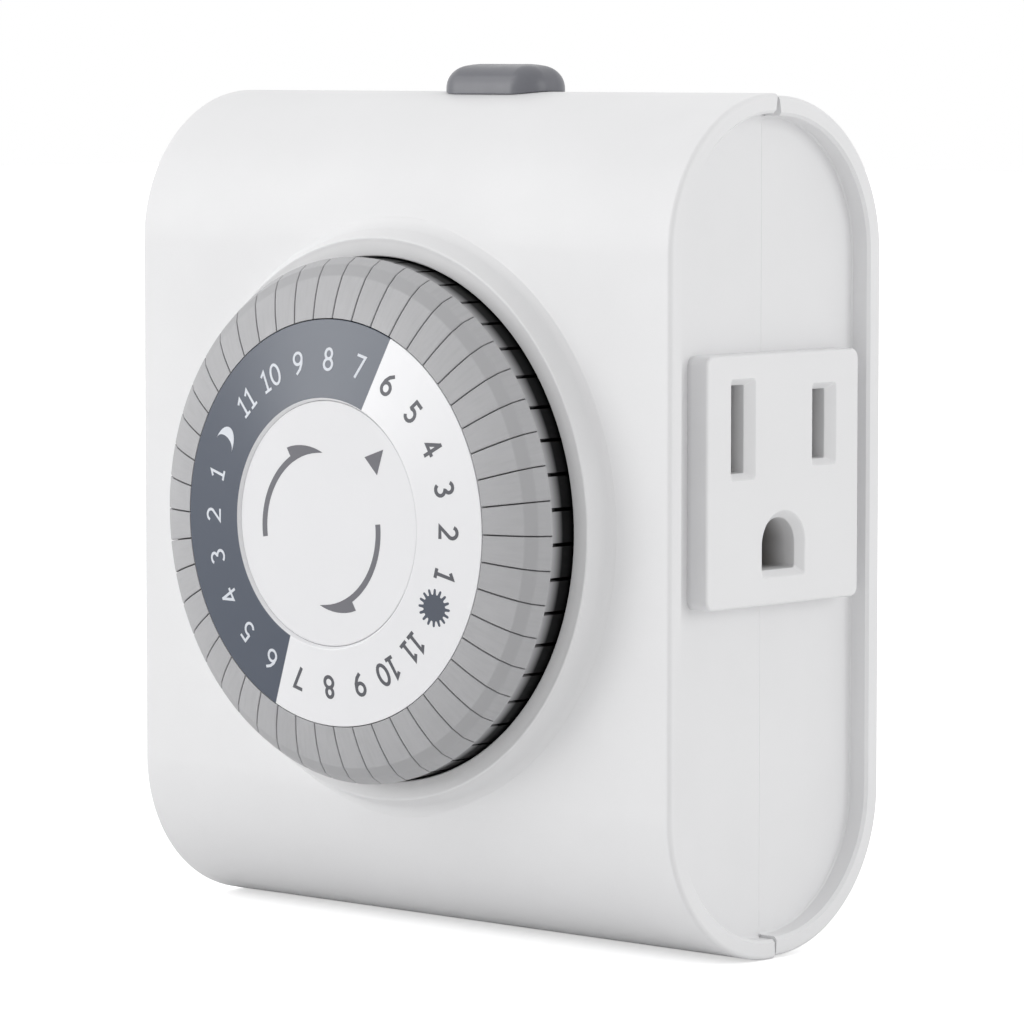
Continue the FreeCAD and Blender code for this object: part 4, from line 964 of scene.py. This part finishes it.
# %% The pair tree
pairs, given = growing_tree("tripper pair", [("Heads", "Int"), ("Pitch", "Float"), ("Place", "Float")])
link = pairs.links.new
as_instance = pairs.nodes.new("GeometryNodeGeometryToInstance")
copies = pairs.nodes.new("GeometryNodeDuplicateElements")
copies.domain = "INSTANCE"
euler = pairs.nodes.new("ShaderNodeCombineXYZ")
turn = pairs.nodes.new("GeometryNodeRotateInstances")
turn.inputs["Local Space"].default_value = False
link(given.outputs["Geometry"], as_instance.inputs[0])
link(as_instance.outputs[0], copies.inputs["Geometry"])
link(given.outputs["Heads"], copies.inputs["Amount"])
link(reckon(pairs, "MULTIPLY_ADD", copies.outputs["Duplicate Index"], given.outputs["Pitch"],
            given.outputs["Place"]), euler.inputs["Y"])
link(copies.outputs["Geometry"], turn.inputs["Instances"])
link(euler.outputs[0], turn.inputs["Rotation"])
end_tree(pairs, given, turn.outputs["Instances"])
for spot in range(24):
    hour = (hour_at_top - 1 - spot) % 24
    pair = grown("trippers_%02d" % hour, tripper, pairs, {
        "Heads": 2, "Pitch": math.radians(pitch), "Place": math.radians(spot * 2 * pitch),
        "Finish": tripper_grey})
    dress(pair, tripper_grey, "tripper_grey", "hour_%02d" % hour, "trippers_hour_%02d" % hour)
bpy.data.objects.remove(tripper)

# %% [markdown]
# ## The slide knob
# The knob is a soft pillow. Each level is a rounded rectangle that draws in along a part of an
# ellipse. Its lowest levels bend down on both sides of the middle, because the roof under them
# is round, so the knob lies on the roof all the way.

# %% Slide knob
knob_x, knob_y, knob_low, knob_mid = 6.75, 3.7, 44.04, 0.3
wall_top, wall_rise, wall_in = 0.36, 2.36, 2.7


def pillow_ring(up, draw, corner_r=2.95, steps=9):
    """A rounded rectangle at one level; the lowest ones bend down with the roof under them."""
    ring, r = [], max(corner_r - draw, 0.3)
    for sx, sy, start in ((1, 1, 0), (-1, 1, 90), (-1, -1, 180), (1, -1, 270)):
        for s in range(steps + 1):
            t = math.radians(start + 90 * s / steps)
            y = sy * (knob_y - draw - r) + r * math.sin(t)
            roof_drop = corner - math.sqrt(corner ** 2 - max(abs(y) - 0.5, 0) ** 2)
            ring.append((knob_mid + sx * (knob_x - draw - r) + r * math.cos(t), parting_y + y,
                         knob_low + up - roof_drop * max(0, 1 - up / 1.4)))
    return ring


# (height, inset) of each level: the underside, the foot, the wall and the top
levels = [(0.0, 3.3), (0.0, 2.2), (0.0, 1.1), (0.0, 0.1), (0.03, 0.03), (0.1, 0.0), (wall_top, 0.0)]
for s in range(1, 12):
    t = math.radians(84 * s / 11)
    levels.append((wall_top + wall_rise * math.sin(t), wall_in * (1 - math.cos(t))))
levels += [(2.77, 2.75), (2.81, 3.05), (2.84, 3.3)]
knob = loft("slide_knob", [pillow_ring(up, draw) for up, draw in levels])
stem = box("stem", -1.5, 1.5, parting_y - 1.05, parting_y + 1.05, 39.95, knob_low + 0.5)
dress(finish(carve(knob, stem, "UNION"), 50), knob_grey, "knob_grey", "override", "override_knob")

# %% [markdown]
# ## Screws and plug
# Four screws hold the shells. One screw is modelled with its thread, domed head and cross
# recess, and a small tree sets it on four points. The ground pin is turned from a profile with a
# true round nose; the flat blades keep their construction shape and only get their brass.

# %% Housing screws
core_r, head_r, head_y = 1.2, 2.6, -10.0
thread_r, thread_pitch, thread_low = 1.39, 0.3, -24.0
screw = spin("screw", soften(
    [(0, -25.5), (0.5, -25.5), (core_r, -24.2), (core_r, head_y), (head_r, head_y), (head_r, -8.7),
     (1.6, -8.05), (0, -8.0)],
    [0, 0.1, 0.2, 0, 0, 0.3, 0.6, 0]), 40)
for turn in (0, 90):
    arm = box("arm", -1.6, 1.6, -8.95, -7, -0.36, 0.36)
    arm.data.transform(Matrix.Rotation(math.radians(turn), 4, "Y"))
    carve(screw, arm)
thread = [(thread_r if i % 2 == 0 else core_r, thread_low + thread_pitch * i) for i in range(26)]
carve(screw, spin("thread", [(0, thread_low)] + thread + [(0, thread[-1][1])], 40), "UNION")
finish(screw, 30)
on_points, given = growing_tree("screws on points", [("Half width", "Float"), ("Half height", "Float")])
link = on_points.links.new
grid = on_points.nodes.new("GeometryNodeMeshGrid")
grid.inputs["Vertices X"].default_value = grid.inputs["Vertices Y"].default_value = 2
stand = on_points.nodes.new("GeometryNodeTransform")
stand.inputs["Rotation"].default_value = (math.pi / 2, 0, 0)
place_on = on_points.nodes.new("GeometryNodeInstanceOnPoints")
for label, side in (("Half width", "Size X"), ("Half height", "Size Y")):
    link(reckon(on_points, "MULTIPLY", given.outputs[label], 2.0), grid.inputs[side])
link(grid.outputs["Mesh"], stand.inputs["Geometry"])
link(stand.outputs["Geometry"], place_on.inputs["Points"])
link(given.outputs["Geometry"], place_on.inputs["Instance"])
end_tree(on_points, given, place_on.outputs["Instances"])
screws = grown("shell_screws", screw, on_points, {
    "Half width": screw_x / 1000, "Half height": screw_z / 1000, "Finish": steel})
bpy.data.objects.remove(screw)
dress(screws, steel, "steel", "housing", "housing_screws")
print("screws box:", [round(v * 1000, 1) for v in screws.dimensions])

# %% Ground pin
pin_r, pin_tip, shoulder_r, neck_r, pin_root, shoulder_y = 2.38, 20.6, 3.58, 1.9, -6.7, -5.1
nose = [(pin_r * math.cos(math.radians(a)), pin_tip - pin_r + pin_r * math.sin(math.radians(a)))
        for a in range(0, 85, 7)]
root = [(0, pin_root), (shoulder_r, pin_root), (shoulder_r, shoulder_y), (neck_r, shoulder_y),
        (neck_r, 0.1), (2.3, 0.1), (pin_r, 0.18)]
pin = spin("earth_pin", root + nose + [(0, pin_tip)], 96)
pin.data.transform(Matrix.Translation((0, 0, pin_z)))
dress(finish(pin), brass, "contact_brass", "housing", "ground_pin")

# %% [markdown]
# ## Pieces that keep their construction shape
# The carrier's rim shows between the trippers and the well, and the plug's blades show from
# behind. The rest is inside. All of them keep the shape of the frame and only get a finish.

# %% Finishes for the carried-over nodes
kept = {
    carrier_grey: "dial_carrier", knob_grey: "override_slide", lead_cover: "motor_leads",
    inner_white: "dial_post chassis_plate idler_gear motor_pinion switch_lever",
    steel: "chassis_screws motor_screws idler_pin lever_pin", motor_steel: "motor_can",
    brass: "neutral_blade hot_blade neutral_bus switched_bus ground_bus fixed_contact moving_contact"}
for material, names in kept.items():
    for name in names.split():
        for slot in frame["nodes"][name].material_slots:
            slot.material = material
        print(name, "<-", material.name)

# %% [markdown]
# ## Floor, light and camera
# The photograph has a clean white ground and soft light from all sides. The floor is a plain
# pale sheet that adds some light of its own where the camera sees it. The world lights the
# object evenly, except that it is darker where the camera stands, as a room is behind the
# photographer; the camera and the glosses see it white. Two soft lamps at the front left and one
# at the right rear give the plastic its slow shading.

# %% Floor


def seen_by(tree, others):
    """1 for camera rays and the other named rays, else 0."""
    ray = tree.nodes.new("ShaderNodeLightPath")
    seen = ray.outputs["Is Camera Ray"]
    for other in others:
        seen = reckon(tree, "MAXIMUM", seen, ray.outputs[other])
    return seen


reach, top_z, under_z = 3000, -44.02, -54
floor = loft("floor", [[(x, -reach, top_z), (x, reach, top_z), (x, reach, under_z), (x, -reach, under_z)]
                       for x in (-reach, reach)])
in_metres(floor)
floor_white, tree, shader = blank("floor white")
shader.inputs["Base Color"].default_value = (0.86, 0.86, 0.86, 1)
shader.inputs["Roughness"].default_value = 0.7
lift = tree.nodes.new("ShaderNodeEmission")
lift.inputs["Color"].default_value = (1, 1, 1, 1)
glow = reckon(tree, "MULTIPLY", seen_by(tree, ["Is Transmission Ray"]), 0.55)
tree.links.new(glow, lift.inputs["Strength"])
both = tree.nodes.new("ShaderNodeAddShader")
tree.links.new(shader.outputs[0], both.inputs[0])
tree.links.new(lift.outputs[0], both.inputs[1])
tree.links.new(both.outputs[0], tree.nodes["Material Output"].inputs["Surface"])
floor.data.materials.append(floor_white)

# %% World and lamps
world = bpy.data.worlds.new("studio")
scene.world = world
world.use_nodes = True
tree = world.node_tree
toward = tree.nodes.new("ShaderNodeVectorMath")
toward.operation = "DOT_PRODUCT"
toward.inputs[1].default_value = (0.7, -0.7, 0.14)
tree.links.new(tree.nodes.new("ShaderNodeTexCoord").outputs["Generated"], toward.inputs[0])
dim = reckon(tree, "POWER", reckon(tree, "MAXIMUM", toward.outputs["Value"], 0.0), 5.0)
level = tree.nodes.new("ShaderNodeMapRange")
level.inputs["To Max"].default_value = 1.0
tree.links.new(seen_by(tree, ["Is Glossy Ray", "Is Transmission Ray"]), level.inputs["Value"])
tree.links.new(reckon(tree, "SUBTRACT", 0.85, reckon(tree, "MULTIPLY", dim, 0.66)), level.inputs["To Min"])
tree.links.new(level.outputs["Result"], tree.nodes["Background"].inputs["Strength"])
tree.nodes["Background"].inputs["Color"].default_value = (1, 1, 1, 1)


def lamp(name, spot, aim, size, watts):
    """A large soft lamp that points at a spot on the object."""
    light = bpy.data.lights.new(name, "AREA")
    light.shape, light.size, light.energy = "DISK", size, watts
    thing = placed(name, light)
    thing.location = spot
    thing.rotation_euler = (Vector(aim) - Vector(spot)).to_track_quat("-Z", "Y").to_euler()
    return thing


lamp("front left", (-0.75, -0.85, 0.62), (0, -0.03, 0), 0.95, 3.5)
lamp("front left low", (-0.85, -0.95, 0.15), (0, -0.03, 0), 0.48, 2.2)
lamp("right rear", (1.15, 0.3, 0.35), (0.03, -0.02, 0), 0.8, 2.9)

# %% Camera
camera = placed("camera", bpy.data.cameras.new("camera"))
scene.camera = camera
camera.location = (0.4045956, -0.4531369, 0.0480898)
camera.rotation_euler = (math.radians(90 - 4.656), 0, math.radians(42.732))
camera.data.lens, camera.data.sensor_width, camera.data.clip_end = 198.4, 36, 20
scene.view_settings.view_transform = "Standard"

# %% Bring the scene up to date
bpy.context.view_layer.update()
